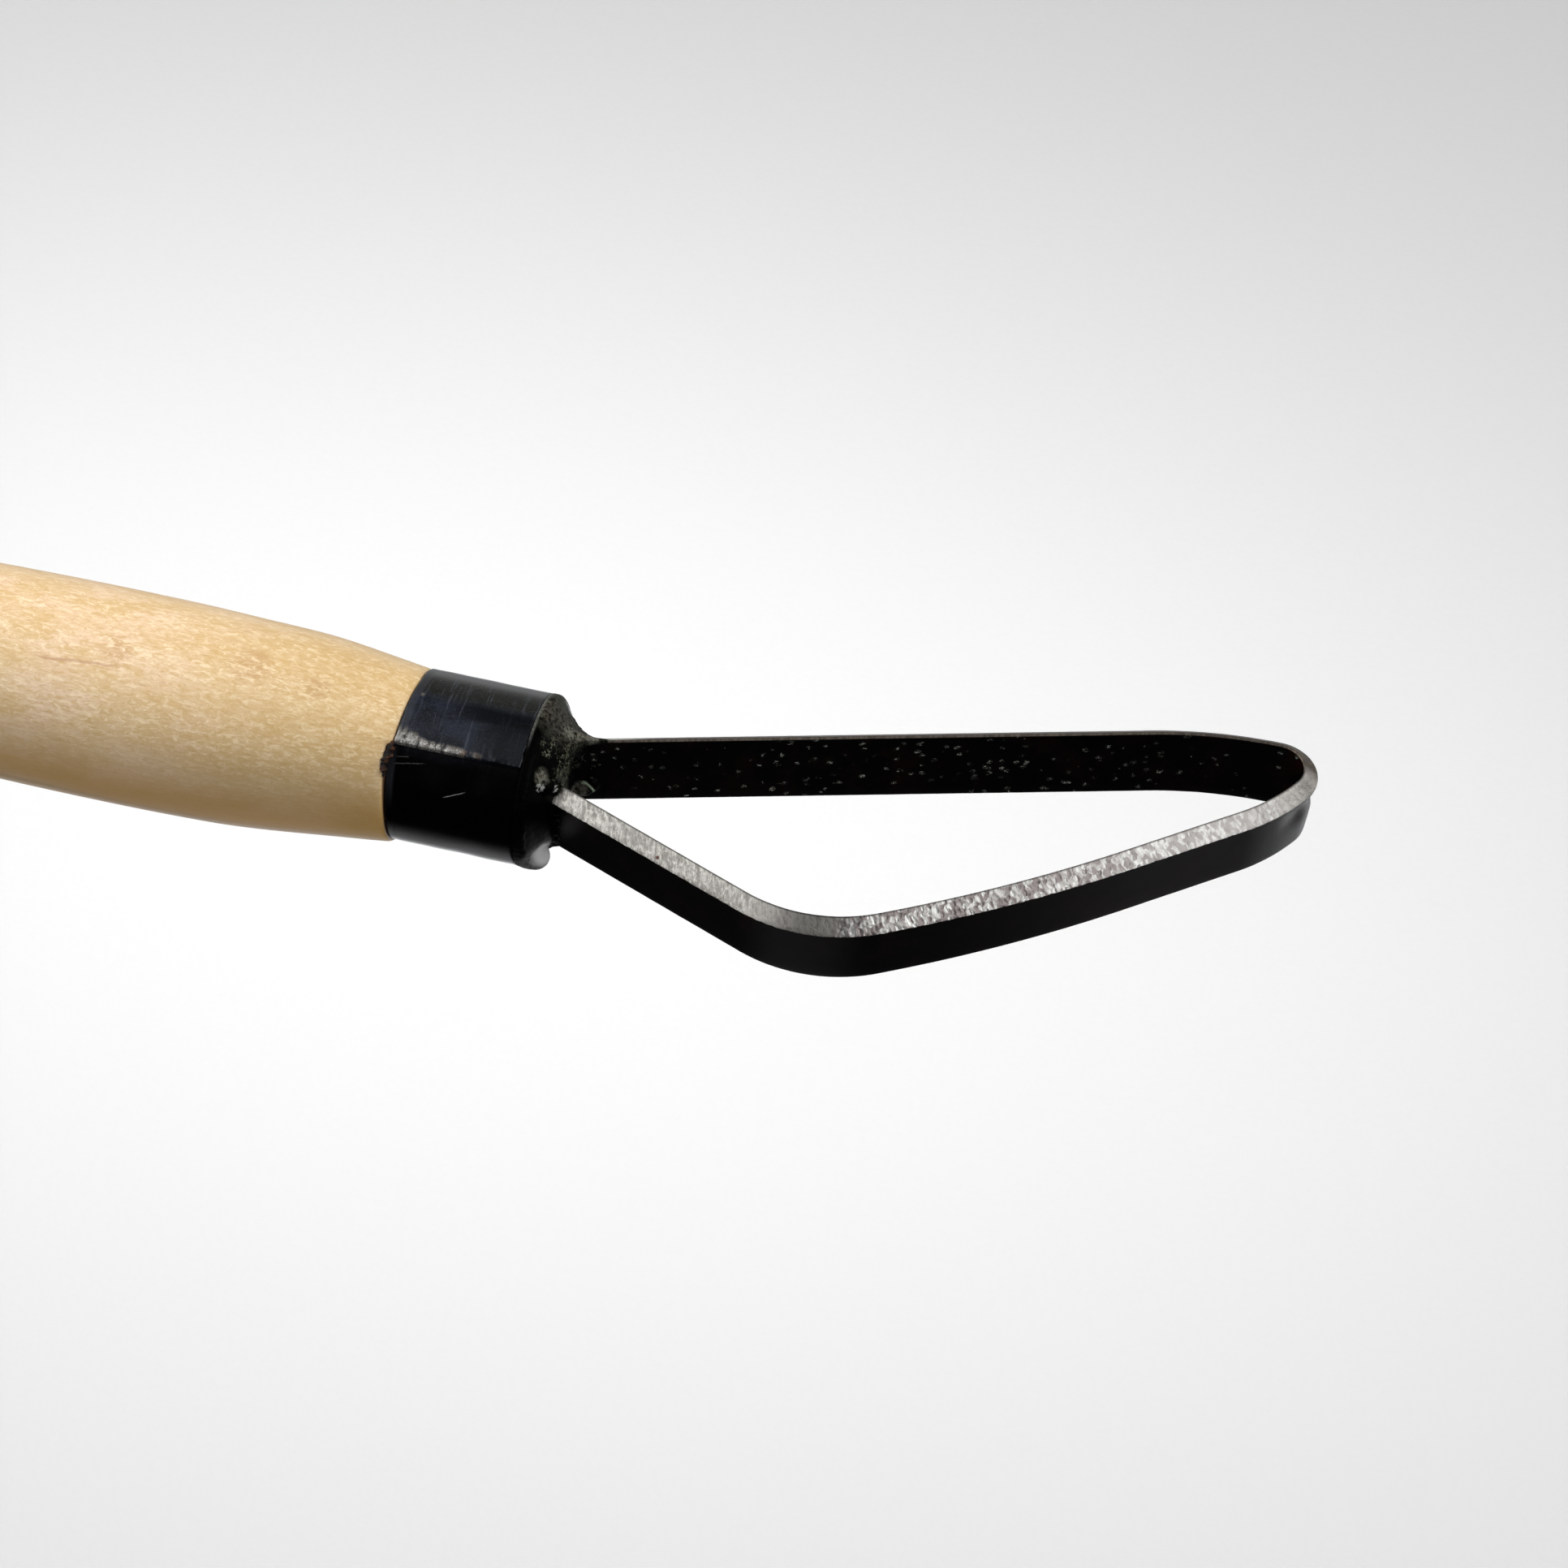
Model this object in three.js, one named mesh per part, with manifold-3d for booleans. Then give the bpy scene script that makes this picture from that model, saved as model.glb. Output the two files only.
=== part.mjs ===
// Pottery ribbon tool: a bevelled steel ribbon, bent to a scalene triangle and welded to a capped ferrule
// on a turned wooden handle.
// Units are millimetres. The origin is the centre of the handle's butt face, +X runs along the handle
// towards the loop, +Y towards the tip of the loop and +Z towards the ground cutting edge.
import * as THREE from "three";
import { mergeVertices } from "three/addons/utils/BufferGeometryUtils.js";
import Module from "manifold-3d";

// General clearances
const FIT = 0.3; // between pieces that are pressed or welded together
const SAGITTA = 0.012; // how far a facet may stand off a bend's true arc
const MERGE_DISTANCE = 1e-4; // between corners that are taken as one

// Turned handle
const HANDLE_LENGTH = 130; // butt face to shoulder
const SHOULDER_RADIUS = 8.8;
const BELLY_RADIUS = 10.5;
const BELLY_SETBACK = 31; // shoulder to the thickest place
const FRONT_FULLNESS = 2.5; // power of the curve between the belly and the shoulder
const TAIL_RADIUS = 7.4; // just ahead of the rounded butt
const BUTT_ROUNDING = 7; // length of the rounded butt
const BUTT_FLAT_RADIUS = 3.6;
const TENON_LENGTH = 9;
const TENON_CHAMFER = 0.6;

// Ferrule: a strip rolled once round, its ends lapped
const FERRULE_RADIUS = 8.5;
const FERRULE_LENGTH = 12.5;
const SHEET = 0.8; // thickness of the strip
const LAYER_GAP = 0.08; // between the two layers in the lap
const LAP_ANGLE = 20; // degrees of double sheet
const JOGGLE_ANGLE = 46; // degrees over which the inner layer dips under the outer one
const SEAM_ANGLE = 124; // degrees from +Y towards +Z, where the outer layer ends
const REAR_SKEW = 0.5; // how far the strip runs off square in one turn
const SHEET_CHAMFER = 0.15;

// Cap that closes the ferrule and carries the loop
const CAP_HEIGHT = 3.2; // front face ahead of the ferrule's edge
const CAP_FACE_RADIUS = 5.2;
const CAP_CONE_RADIUS = 7.68;
const CAP_CONE_HEIGHT = 1.65;
const SPIGOT_LENGTH = 2.6;

// Weld bead round the cap
const RIM_BEAD_WIDTH = 1.15;
const RIM_BEAD_CROWN = 0.6; // share of the width where the bead starts to fall away to the cone
const RIM_BEAD_RADIUS = 8.58;
const RIM_BEAD_SHOULDER = 0.25; // rounding beside the ferrule's edge
const RIM_BEAD_RIPPLES = 23;
const RIM_BEAD_RIPPLE = 0.06;
const RIM_RUN_ANGLE = 218; // degrees from +Y towards +Z, where the weld has run into a lump
const RIM_RUN_SPREAD = 14;
const RIM_RUN_HEIGHT = 0.3;

// Tang inside the handle
const TANG_LENGTH = 36;
const TANG_ROOT = 4.4; // square section at the cap
const TANG_POINT = 1.8;

// Ribbon: section
const RIBBON_WIDTH = 8.4;
const RIBBON_THICKNESS = 1.55;
const BEVEL_DROP = 1.33; // ground away across the whole thickness
const FLARE = 0.074; // outward lean of the faces towards the cutting edge, as a slope
const CREST_LAND = 0.06; // flat left on the cutting edge
const EDGE_BREAK = 0.22; // chamfers on the lower edges

// Ribbon: the bends, in the order in which the strip is worked from the near leg
const NEAR_LEG_OFFSET = 3.28; // inner crest of each leg from the axis, at the cap
const FAR_LEG_OFFSET = 2.39;
const NEAR_LEG_ANGLE = -21.2; // degrees off the axis
const NEAR_LEG_LENGTH = 21.7;
const CORNER_RADIUS = 15.2;
const CORNER_TURN = 49.4;
const BOW_RADIUS = 156; // slight bow of the cutting run
const BOW_TURN = 9.3;
const EASE_IN_RADIUS = 19;
const EASE_IN_TURN = 20.5;
const TIP_RADIUS = 2.75;
const TIP_TURN = 122.1;
const EASE_OUT_RADIUS = 44.4;
const EASE_OUT_TURN = 16.2;
const TRIAL_STRAIGHT = 1; // first guess at the straight before the tip, which is then solved

// Weld collars at the roots of the two legs
const COLLAR_LENGTH = 2.8;
const COLLAR_ROOT_GROWTH = 1.7; // beyond the ribbon's faces, at the cap
const COLLAR_TIP_GROWTH = 0.46;
const COLLAR_LUMP = 0.16;
const COLLAR_LUMP_WAVES = 5; // lumps round its section
const COLLAR_LUMP_SWELLS = 2; // times that they swell and fade round it
const COLLAR_FALL = 3; // power by which it thins from the cap to its tip
const COLLAR_SQUARENESS = 0.5; // power that rounds its section: 1 is an ellipse, 0 a rectangle
const COLLAR_NEAR_SEED = 0.7;
const COLLAR_FAR_SEED = 2.1;

// Smoothness of the round forms
const TURN_STEPS = 48;
const RING_STEPS = 96;
const STRIP_STEPS = 60;
const LAP_STEPS = 5;
const BUTT_STEPS = 7;
const PROFILE_STEP = 5;
const COLLAR_RINGS = 10;
const COLLAR_STEPS = 32;

const DEG = Math.PI / 180;
const FULL_TURN = 360;
const TURN_GAP = 1; // degrees kept free where the strip's rings close on themselves
const LAP_RELIEF = 2.5; // degrees by which the joggle and its bed run past the lap
const LAP_RADIUS = FERRULE_RADIUS - SHEET - LAYER_GAP; // outside of the inner layer in the lap
const SHOULDER_X = HANDLE_LENGTH;
const FERRULE_REAR = SHOULDER_X + FIT;
const FERRULE_FRONT = FERRULE_REAR + FERRULE_LENGTH;
const CAP_FACE_X = FERRULE_FRONT + CAP_HEIGHT;
const CAP_BACK_X = FERRULE_FRONT - SPIGOT_LENGTH;
const LOOP_BASE_X = CAP_FACE_X + FIT;
const CREST_Z = RIBBON_WIDTH / 2;

const wasm = await Module();
wasm.setup();

const smoothstep = (t) => {
  const u = Math.min(1, Math.max(0, t));
  return u * u * (3 - 2 * u);
};

const range = (count) => [...Array(count).keys()];

// Triangles that fill a ring, seen along the X axis and wound as the ring is.
function fillRing(ring) {
  const outline = ring.map(([, y, z]) => new THREE.Vector2(y, z));
  const triangles = THREE.ShapeUtils.triangulateShape(outline, []);
  return THREE.ShapeUtils.area(outline) > 0 ? triangles : triangles.map(([a, b, c]) => [a, c, b]);
}

// A closed solid over rings of equal point count, each ring a list of [x, y, z].
function loft(rings) {
  const count = rings[0].length;
  const index = [];
  for (const i of range(rings.length - 1)) {
    for (const j of range(count)) {
      const [a, b] = [i * count + j, i * count + ((j + 1) % count)];
      index.push(a, b, b + count, a, b + count, a + count);
    }
  }
  const last = (rings.length - 1) * count;
  for (const [a, b, c] of fillRing(rings[0])) index.push(a, c, b);
  for (const [a, b, c] of fillRing(rings.at(-1))) index.push(last + a, last + b, last + c);
  const geometry = new THREE.BufferGeometry();
  geometry.setAttribute("position", new THREE.Float32BufferAttribute(rings.flat(2), 3));
  geometry.setIndex(index);
  return geometry;
}

// A ring closed on itself, swept round the X axis from a section of [x, radius] at each angle.
function sweptRing(sectionAt) {
  const sections = range(RING_STEPS).map((i) => {
    const angle = (i / RING_STEPS) * 2 * Math.PI;
    return sectionAt(angle).map(([x, r]) => [x, r * Math.cos(angle), r * Math.sin(angle)]);
  });
  const count = sections[0].length;
  const index = [];
  for (const i of range(sections.length)) {
    const next = ((i + 1) % sections.length) * count;
    for (const j of range(count)) {
      const [a, b] = [i * count + j, i * count + ((j + 1) % count)];
      const [c, d] = [next + j, next + ((j + 1) % count)];
      index.push(a, b, d, a, d, c);
    }
  }
  const geometry = new THREE.BufferGeometry();
  geometry.setAttribute("position", new THREE.Float32BufferAttribute(sections.flat(2), 3));
  geometry.setIndex(index);
  return geometry;
}

// A profile of [x, radius] points, from the rear to the front, turned round the X axis.
function turned(profile) {
  const points = profile.map(([x, r]) => new THREE.Vector2(r, x));
  return new THREE.LatheGeometry(points, TURN_STEPS).rotateZ(-Math.PI / 2);
}

function solidOf(geometry) {
  const bare = geometry.clone();
  bare.deleteAttribute("normal");
  bare.deleteAttribute("uv");
  const merged = mergeVertices(bare, MERGE_DISTANCE);
  return new wasm.Manifold(
    new wasm.Mesh({
      numProp: 3,
      vertProperties: new Float32Array(merged.attributes.position.array),
      triVerts: new Uint32Array(merged.index.array),
    }),
  );
}

function geometryOf(solid) {
  const mesh = solid.getMesh();
  const geometry = new THREE.BufferGeometry();
  geometry.setAttribute("position", new THREE.BufferAttribute(new Float32Array(mesh.vertProperties), 3));
  geometry.setIndex(new THREE.BufferAttribute(new Uint32Array(mesh.triVerts), 1));
  return geometry;
}

// Handle's radius at x, between the rounded butt and the shoulder.
function handleRadius(x) {
  const bellyX = SHOULDER_X - BELLY_SETBACK;
  if (x > bellyX) {
    const share = (x - bellyX) / BELLY_SETBACK;
    return BELLY_RADIUS - (BELLY_RADIUS - SHOULDER_RADIUS) * share ** FRONT_FULLNESS;
  }
  const share = (bellyX - x) / (bellyX - BUTT_ROUNDING);
  return BELLY_RADIUS - (BELLY_RADIUS - TAIL_RADIUS) * smoothstep(share);
}

function handleProfile() {
  const butt = range(BUTT_STEPS).map((i) => {
    const angle = (i / BUTT_STEPS) * (Math.PI / 2);
    const radius = BUTT_FLAT_RADIUS + (TAIL_RADIUS - BUTT_FLAT_RADIUS) * Math.sin(angle);
    return [BUTT_ROUNDING * (1 - Math.cos(angle)), radius];
  });
  const length = SHOULDER_X - BUTT_ROUNDING;
  const steps = Math.ceil(length / PROFILE_STEP);
  const body = range(steps + 1).map((i) => {
    const x = BUTT_ROUNDING + (length * i) / steps;
    return [x, handleRadius(x)];
  });
  return [[0, 0], ...butt, ...body, [SHOULDER_X, 0]];
}

// Angles round the strip, in degrees, from the outer layer's end to just short of one full turn.
const turnAngles = range(STRIP_STEPS).map((i) => ((FULL_TURN - TURN_GAP / 2) * i) / (STRIP_STEPS - 1));

// A point of a round form at a strip angle, which runs from the seam away from the lap.
function aroundPoint(x, radius, stripAngle) {
  const angle = (SEAM_ANGLE - stripAngle) * DEG;
  return [x, radius * Math.cos(angle), radius * Math.sin(angle)];
}

// Outside of the strip along its length: full radius, then dipping under its own other end.
function stripRadius(stripAngle) {
  const dip = smoothstep((stripAngle - (FULL_TURN - LAP_RELIEF - JOGGLE_ANGLE)) / JOGGLE_ANGLE);
  return FERRULE_RADIUS - (FERRULE_RADIUS - LAP_RADIUS) * dip;
}

// Inside of the rolled ferrule, which the tenon fills.
function boreRadius(stripAngle) {
  const underLap = stripAngle < LAP_ANGLE + LAP_RELIEF;
  return (underLap ? LAP_RADIUS : stripRadius(stripAngle)) - SHEET;
}

// The strip's rear edge runs off square for one turn. Its hidden corner in the lap is sheared back.
const rearSkew = (stripAngle) => (stripAngle > FULL_TURN ? 0 : (-REAR_SKEW * stripAngle) / FULL_TURN);

function ferruleGeometry() {
  const lapStart = FULL_TURN + TURN_GAP;
  const lapAngles = range(LAP_STEPS).map((i) => lapStart + ((LAP_ANGLE - TURN_GAP) * i) / (LAP_STEPS - 1));
  const angles = [...turnAngles, ...lapAngles];
  const ringAt = (xAt, inset) => [
    ...angles.map((a) => aroundPoint(xAt(a), stripRadius(a) - inset, a)),
    ...angles.toReversed().map((a) => aroundPoint(xAt(a), stripRadius(a) - SHEET + inset, a)),
  ];
  const rear = (a) => FERRULE_REAR + rearSkew(a);
  return loft([
    ringAt((a) => rear(a), SHEET_CHAMFER),
    ringAt((a) => rear(a) + SHEET_CHAMFER, 0),
    ringAt(() => FERRULE_FRONT - SHEET_CHAMFER, 0),
    ringAt(() => FERRULE_FRONT, SHEET_CHAMFER),
  ].toReversed());
}

function tangGeometry(grow) {
  const head = CAP_BACK_X - FIT;
  const ringAt = (x, size) => {
    const half = size / 2 + grow;
    return [[x, -half, -half], [x, half, -half], [x, half, half], [x, -half, half]];
  };
  return loft([
    ringAt(head - TANG_LENGTH - grow, TANG_POINT),
    ringAt(head, TANG_ROOT),
    ...(grow > 0 ? [ringAt(head + SPIGOT_LENGTH, TANG_ROOT)] : []),
  ]);
}

// Body turned to the shoulder, a shoulder cut to the strip's skewed edge, a tenon and a hole for the tang.
function handleSolid() {
  const ringAt = (xAt, radiusAt) => turnAngles.map((a) => aroundPoint(xAt(a), radiusAt(a), a)).toReversed();
  const bedX = (a) => FERRULE_REAR + rearSkew(a) - FIT;
  const beyond = () => SHOULDER_RADIUS + FIT;
  const bed = loft([ringAt(bedX, beyond), ringAt(() => SHOULDER_X + FIT, beyond)]);
  const tenonRadius = (a) => boreRadius(a) - FIT;
  const tenonEnd = SHOULDER_X + TENON_LENGTH;
  const tenon = loft([
    ringAt(() => SHOULDER_X - TENON_LENGTH / 2, tenonRadius),
    ringAt(() => tenonEnd - TENON_CHAMFER, tenonRadius),
    ringAt(() => tenonEnd, (a) => tenonRadius(a) - TENON_CHAMFER),
  ]);
  return solidOf(turned(handleProfile()))
    .subtract(solidOf(bed))
    .add(solidOf(tenon))
    .subtract(solidOf(tangGeometry(FIT)));
}

function capProfile(grow) {
  const spigotRadius = LAP_RADIUS - SHEET - FIT;
  const coneX = FERRULE_FRONT + CAP_CONE_HEIGHT;
  return [
    [CAP_BACK_X, 0],
    [CAP_BACK_X, spigotRadius + grow],
    [FERRULE_FRONT - grow, spigotRadius + grow],
    [FERRULE_FRONT + FIT / 2 - grow, CAP_CONE_RADIUS - FIT + grow],
    [coneX, CAP_CONE_RADIUS + grow],
    [CAP_FACE_X + grow, CAP_FACE_RADIUS + grow],
    [CAP_FACE_X + grow, 0],
  ];
}

// Weld bead in the groove between the ferrule's edge and the cap's cone, with ripples and one lump.
function rimBeadGeometry() {
  const rear = FERRULE_FRONT + FIT;
  return sweptRing((angle) => {
    const off = Math.acos(Math.cos(angle - RIM_RUN_ANGLE * DEG)) / DEG;
    const lump = RIM_RUN_HEIGHT * Math.exp(-((off / RIM_RUN_SPREAD) ** 2));
    const low = CAP_CONE_RADIUS + FIT;
    const crown = RIM_BEAD_RADIUS + RIM_BEAD_RIPPLE * Math.sin(RIM_BEAD_RIPPLES * angle) + lump;
    return [
      [rear, low],
      [rear + RIM_BEAD_WIDTH + lump, low],
      [rear + RIM_BEAD_WIDTH * RIM_BEAD_CROWN + lump, crown],
      [rear + RIM_BEAD_SHOULDER, crown],
      [rear, crown - RIM_BEAD_SHOULDER],
    ];
  });
}

// Centreline of the ribbon's inner crest as {x, y, heading} stations, straights and arcs in turn.
function ribbonStations(straight) {
  const stations = [{ x: LOOP_BASE_X, y: -NEAR_LEG_OFFSET, heading: NEAR_LEG_ANGLE * DEG }];
  const run = (length) => {
    const { x, y, heading } = stations.at(-1);
    stations.push({ x: x + length * Math.cos(heading), y: y + length * Math.sin(heading), heading });
  };
  const bend = (radius, turn) => {
    const steps = Math.ceil((turn * DEG) / (2 * Math.acos(1 - SAGITTA / radius)));
    const step = (turn * DEG) / steps;
    for (const _ of range(steps)) {
      const { x, y, heading } = stations.at(-1);
      const chord = 2 * radius * Math.sin(step / 2);
      const middle = heading + step / 2;
      stations.push({
        x: x + chord * Math.cos(middle),
        y: y + chord * Math.sin(middle),
        heading: heading + step,
      });
    }
  };
  run(NEAR_LEG_LENGTH);
  bend(CORNER_RADIUS, CORNER_TURN);
  bend(BOW_RADIUS, BOW_TURN);
  const straightHeading = stations.at(-1).heading;
  run(straight);
  bend(EASE_IN_RADIUS, EASE_IN_TURN);
  bend(TIP_RADIUS, TIP_TURN);
  bend(EASE_OUT_RADIUS, EASE_OUT_TURN);
  const { x, heading } = stations.at(-1);
  run((LOOP_BASE_X - x) / Math.cos(heading));
  return { stations, straightHeading };
}

// The straight before the tip has the length that brings the far leg home to its own offset.
function closedRibbonStations() {
  const { stations, straightHeading } = ribbonStations(TRIAL_STRAIGHT);
  const end = stations.at(-1);
  const rise = Math.sin(straightHeading) - Math.cos(straightHeading) * Math.tan(end.heading);
  return ribbonStations(TRIAL_STRAIGHT + (FAR_LEG_OFFSET - end.y) / rise).stations;
}

// Ribbon's section as [outward from the inner crest, down from the crest].
function ribbonSection(grow) {
  const t = RIBBON_THICKNESS;
  const lean = (down) => -FLARE * down;
  const low = RIBBON_WIDTH;
  return [
    [-grow, -grow],
    [CREST_LAND + grow, -grow],
    [t + lean(BEVEL_DROP) + grow, BEVEL_DROP - grow],
    [t + lean(low) + grow, low - EDGE_BREAK],
    [t + lean(low) - EDGE_BREAK, low + grow],
    [lean(low) + EDGE_BREAK, low + grow],
    [lean(low) - grow, low - EDGE_BREAK],
  ];
}

// Section carried along the stations. Both ends are mitred to planes of constant x.
function ribbonGeometry(grow = 0, extend = 0) {
  const stations = closedRibbonStations();
  const section = ribbonSection(grow);
  const rings = stations.map(({ x, y, heading }, i) => {
    const atEnd = i === 0 || i === stations.length - 1;
    return section.map(([out, down]) => {
      const px = x + out * Math.sin(heading);
      const py = y - out * Math.cos(heading);
      const endX = LOOP_BASE_X - extend;
      const slide = atEnd ? (endX - px) / Math.cos(heading) : 0;
      return [px + slide * Math.cos(heading), py + slide * Math.sin(heading), CREST_Z - down];
    });
  });
  return loft(rings);
}

// Lumpy collar of weld metal round a leg's root. Its rings grow from the ribbon's own outline.
function collarGeometry(station, outward, seed) {
  const slope = Math.tan(station.heading);
  const halfThickness = RIBBON_THICKNESS / 2;
  const middleY = station.y - outward * (halfThickness - FLARE * CREST_Z);
  const rearX = FERRULE_FRONT + CAP_CONE_HEIGHT;
  const frontX = LOOP_BASE_X + COLLAR_LENGTH;
  const rounded = (v) => Math.sign(v) * Math.abs(v) ** COLLAR_SQUARENESS;
  const rings = range(COLLAR_RINGS).map((i) => {
    const x = rearX + ((frontX - rearX) * i) / (COLLAR_RINGS - 1);
    const reach = Math.max(0, x - LOOP_BASE_X) / COLLAR_LENGTH;
    const thinning = (1 - reach) ** COLLAR_FALL;
    const grow = COLLAR_TIP_GROWTH + (COLLAR_ROOT_GROWTH - COLLAR_TIP_GROWTH) * thinning;
    const y = middleY + (x - station.x) * slope;
    return range(COLLAR_STEPS).map((j) => {
      const angle = (j / COLLAR_STEPS) * 2 * Math.PI;
      const swell = Math.sin(COLLAR_LUMP_SWELLS * (angle + seed));
      const wave = Math.sin(COLLAR_LUMP_WAVES * angle + seed) * swell;
      const lump = 1 + COLLAR_LUMP * (1 - reach) * wave;
      const halfY = halfThickness + FLARE * CREST_Z + grow;
      const halfZ = CREST_Z + grow;
      return [x, y + halfY * rounded(Math.cos(angle)) * lump, halfZ * rounded(Math.sin(angle)) * lump];
    });
  });
  return loft(rings);
}

const finish = (color, roughness, metalness) =>
  new THREE.MeshStandardMaterial({ color, roughness, metalness });
const wood = finish("#d9bf8c", 0.55, 0);
const blackedSheet = finish("#1f2229", 0.42, 0.8);
const blackedRibbon = finish("#14151a", 0.5, 0.8);
const weldMetal = finish("#3c3d3a", 0.75, 0.7);
const bareSteel = finish("#77797c", 0.45, 1);

function addPiece(group, name, geometry, material) {
  const mesh = new THREE.Mesh(geometry, material);
  mesh.name = name;
  group.add(mesh);
}

const stations = closedRibbonStations();
const [nearRoot, farRoot] = [stations[0], stations.at(-1)];
const ribbonClearance = solidOf(ribbonGeometry(FIT, CAP_HEIGHT));
const capClearance = solidOf(turned(capProfile(FIT)));
const collar = (station, outward, seed) =>
  geometryOf(solidOf(collarGeometry(station, outward, seed)).subtract(ribbonClearance).subtract(capClearance));

const tool = new THREE.Group();
const grip = new THREE.Group();
const head = new THREE.Group();
tool.add(grip, head);
addPiece(grip, "handle", geometryOf(handleSolid()), wood);
addPiece(head, "ferrule", ferruleGeometry(), blackedSheet);
addPiece(head, "end_cap", turned(capProfile(0)), weldMetal);
addPiece(head, "tang", tangGeometry(0), bareSteel);
addPiece(head, "ribbon_loop", ribbonGeometry(), blackedRibbon);
addPiece(head, "weld_cap_rim", rimBeadGeometry(), weldMetal);
addPiece(head, "weld_near_leg", collar(nearRoot, 1, COLLAR_NEAR_SEED), weldMetal);
addPiece(head, "weld_far_leg", collar(farRoot, -1, COLLAR_FAR_SEED), weldMetal);

export default tool;
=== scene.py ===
"""Looks of a pottery ribbon tool: turned handle, rolled ferrule, welded cap and bevelled ribbon loop.

Sizes are in millimetres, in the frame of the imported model: the origin is the centre of the handle's butt,
+X runs along the handle to the loop, +Y towards the loop's tip and +Z towards the ground cutting edge.
Blender's own meshes are in metres.
"""

import logging
import math
from dataclasses import dataclass
from enum import Enum
from typing import Any, Callable, Iterable, Sequence

import bpy
import numpy as np
from mathutils import Matrix, Vector, noise

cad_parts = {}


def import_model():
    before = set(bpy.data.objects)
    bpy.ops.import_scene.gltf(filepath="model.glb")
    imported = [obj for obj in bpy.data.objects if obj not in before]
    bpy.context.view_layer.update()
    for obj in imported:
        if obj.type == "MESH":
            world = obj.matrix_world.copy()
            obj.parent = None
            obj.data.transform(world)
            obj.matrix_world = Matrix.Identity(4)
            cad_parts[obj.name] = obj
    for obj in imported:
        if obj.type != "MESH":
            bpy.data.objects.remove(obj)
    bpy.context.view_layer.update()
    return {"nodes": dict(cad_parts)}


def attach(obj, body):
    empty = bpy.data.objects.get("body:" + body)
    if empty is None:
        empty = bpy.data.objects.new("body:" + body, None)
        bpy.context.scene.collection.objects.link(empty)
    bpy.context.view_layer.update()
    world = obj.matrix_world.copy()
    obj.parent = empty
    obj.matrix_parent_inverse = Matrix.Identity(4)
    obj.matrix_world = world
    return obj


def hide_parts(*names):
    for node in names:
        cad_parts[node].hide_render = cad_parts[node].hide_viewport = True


LOG = logging.getLogger("ribbon_tool")
MM = 0.001
CAP_BASE = 145.1
Socket, Piece, Material = bpy.types.NodeSocket, bpy.types.Object, bpy.types.Material
Colour = tuple[float, float, float, float]
Spot = tuple[float, float, float]
Patch = tuple[float, float, float, float]
Section = list[tuple[float, float]]


def rgb(red: float, green: float, painted_blue_sheen: float) -> Colour:
    """An opaque colour from linear values."""
    return (red, green, painted_blue_sheen, 1.0)


def quarter(steps: int) -> list[tuple[float, float]]:
    """The sine and cosine at even steps of a quarter turn."""
    return [(math.sin(i / steps * math.pi / 2), math.cos(i / steps * math.pi / 2)) for i in range(steps + 1)]


def smooth(value: float, low: float, high: float) -> float:
    """A smooth step."""
    share = min(1.0, max(0.0, (value - low) / (high - low)))
    return share * share * (3 - 2 * share)


def operator(operation: str, swapped: bool = False) -> Callable[..., "Field"]:
    """Makes a method of Field that adds a Math node."""

    def method(self: "Field", *others: Any) -> "Field":
        """The Math node's value."""
        return self.graph.maths(operation, *((*others, self) if swapped else (self, *others)))

    return method


class Field:
    """An output socket of a node tree, with the operators of Python for the maths on its value."""

    __add__, __radd__ = operator("ADD"), operator("ADD", swapped=True)
    __sub__, __rsub__ = operator("SUBTRACT"), operator("SUBTRACT", swapped=True)
    __mul__, __rmul__ = operator("MULTIPLY"), operator("MULTIPLY", swapped=True)
    __truediv__, __pow__, __abs__ = operator("DIVIDE"), operator("POWER"), operator("ABSOLUTE")
    root, sine, least, most = operator("SQRT"), operator("SINE"), operator("MINIMUM"), operator("MAXIMUM")

    def __init__(self, graph: "Graph", socket: Socket) -> None:
        """Keeps the tree and the socket."""
        self.graph = graph
        self.socket = socket

    def step(self, low: float, high: float) -> "Field":
        """A smooth step."""
        if low < high:
            return self.graph.smooth_range(self, low, high)
        return 1 - self.graph.smooth_range(self, high, low)


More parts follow.
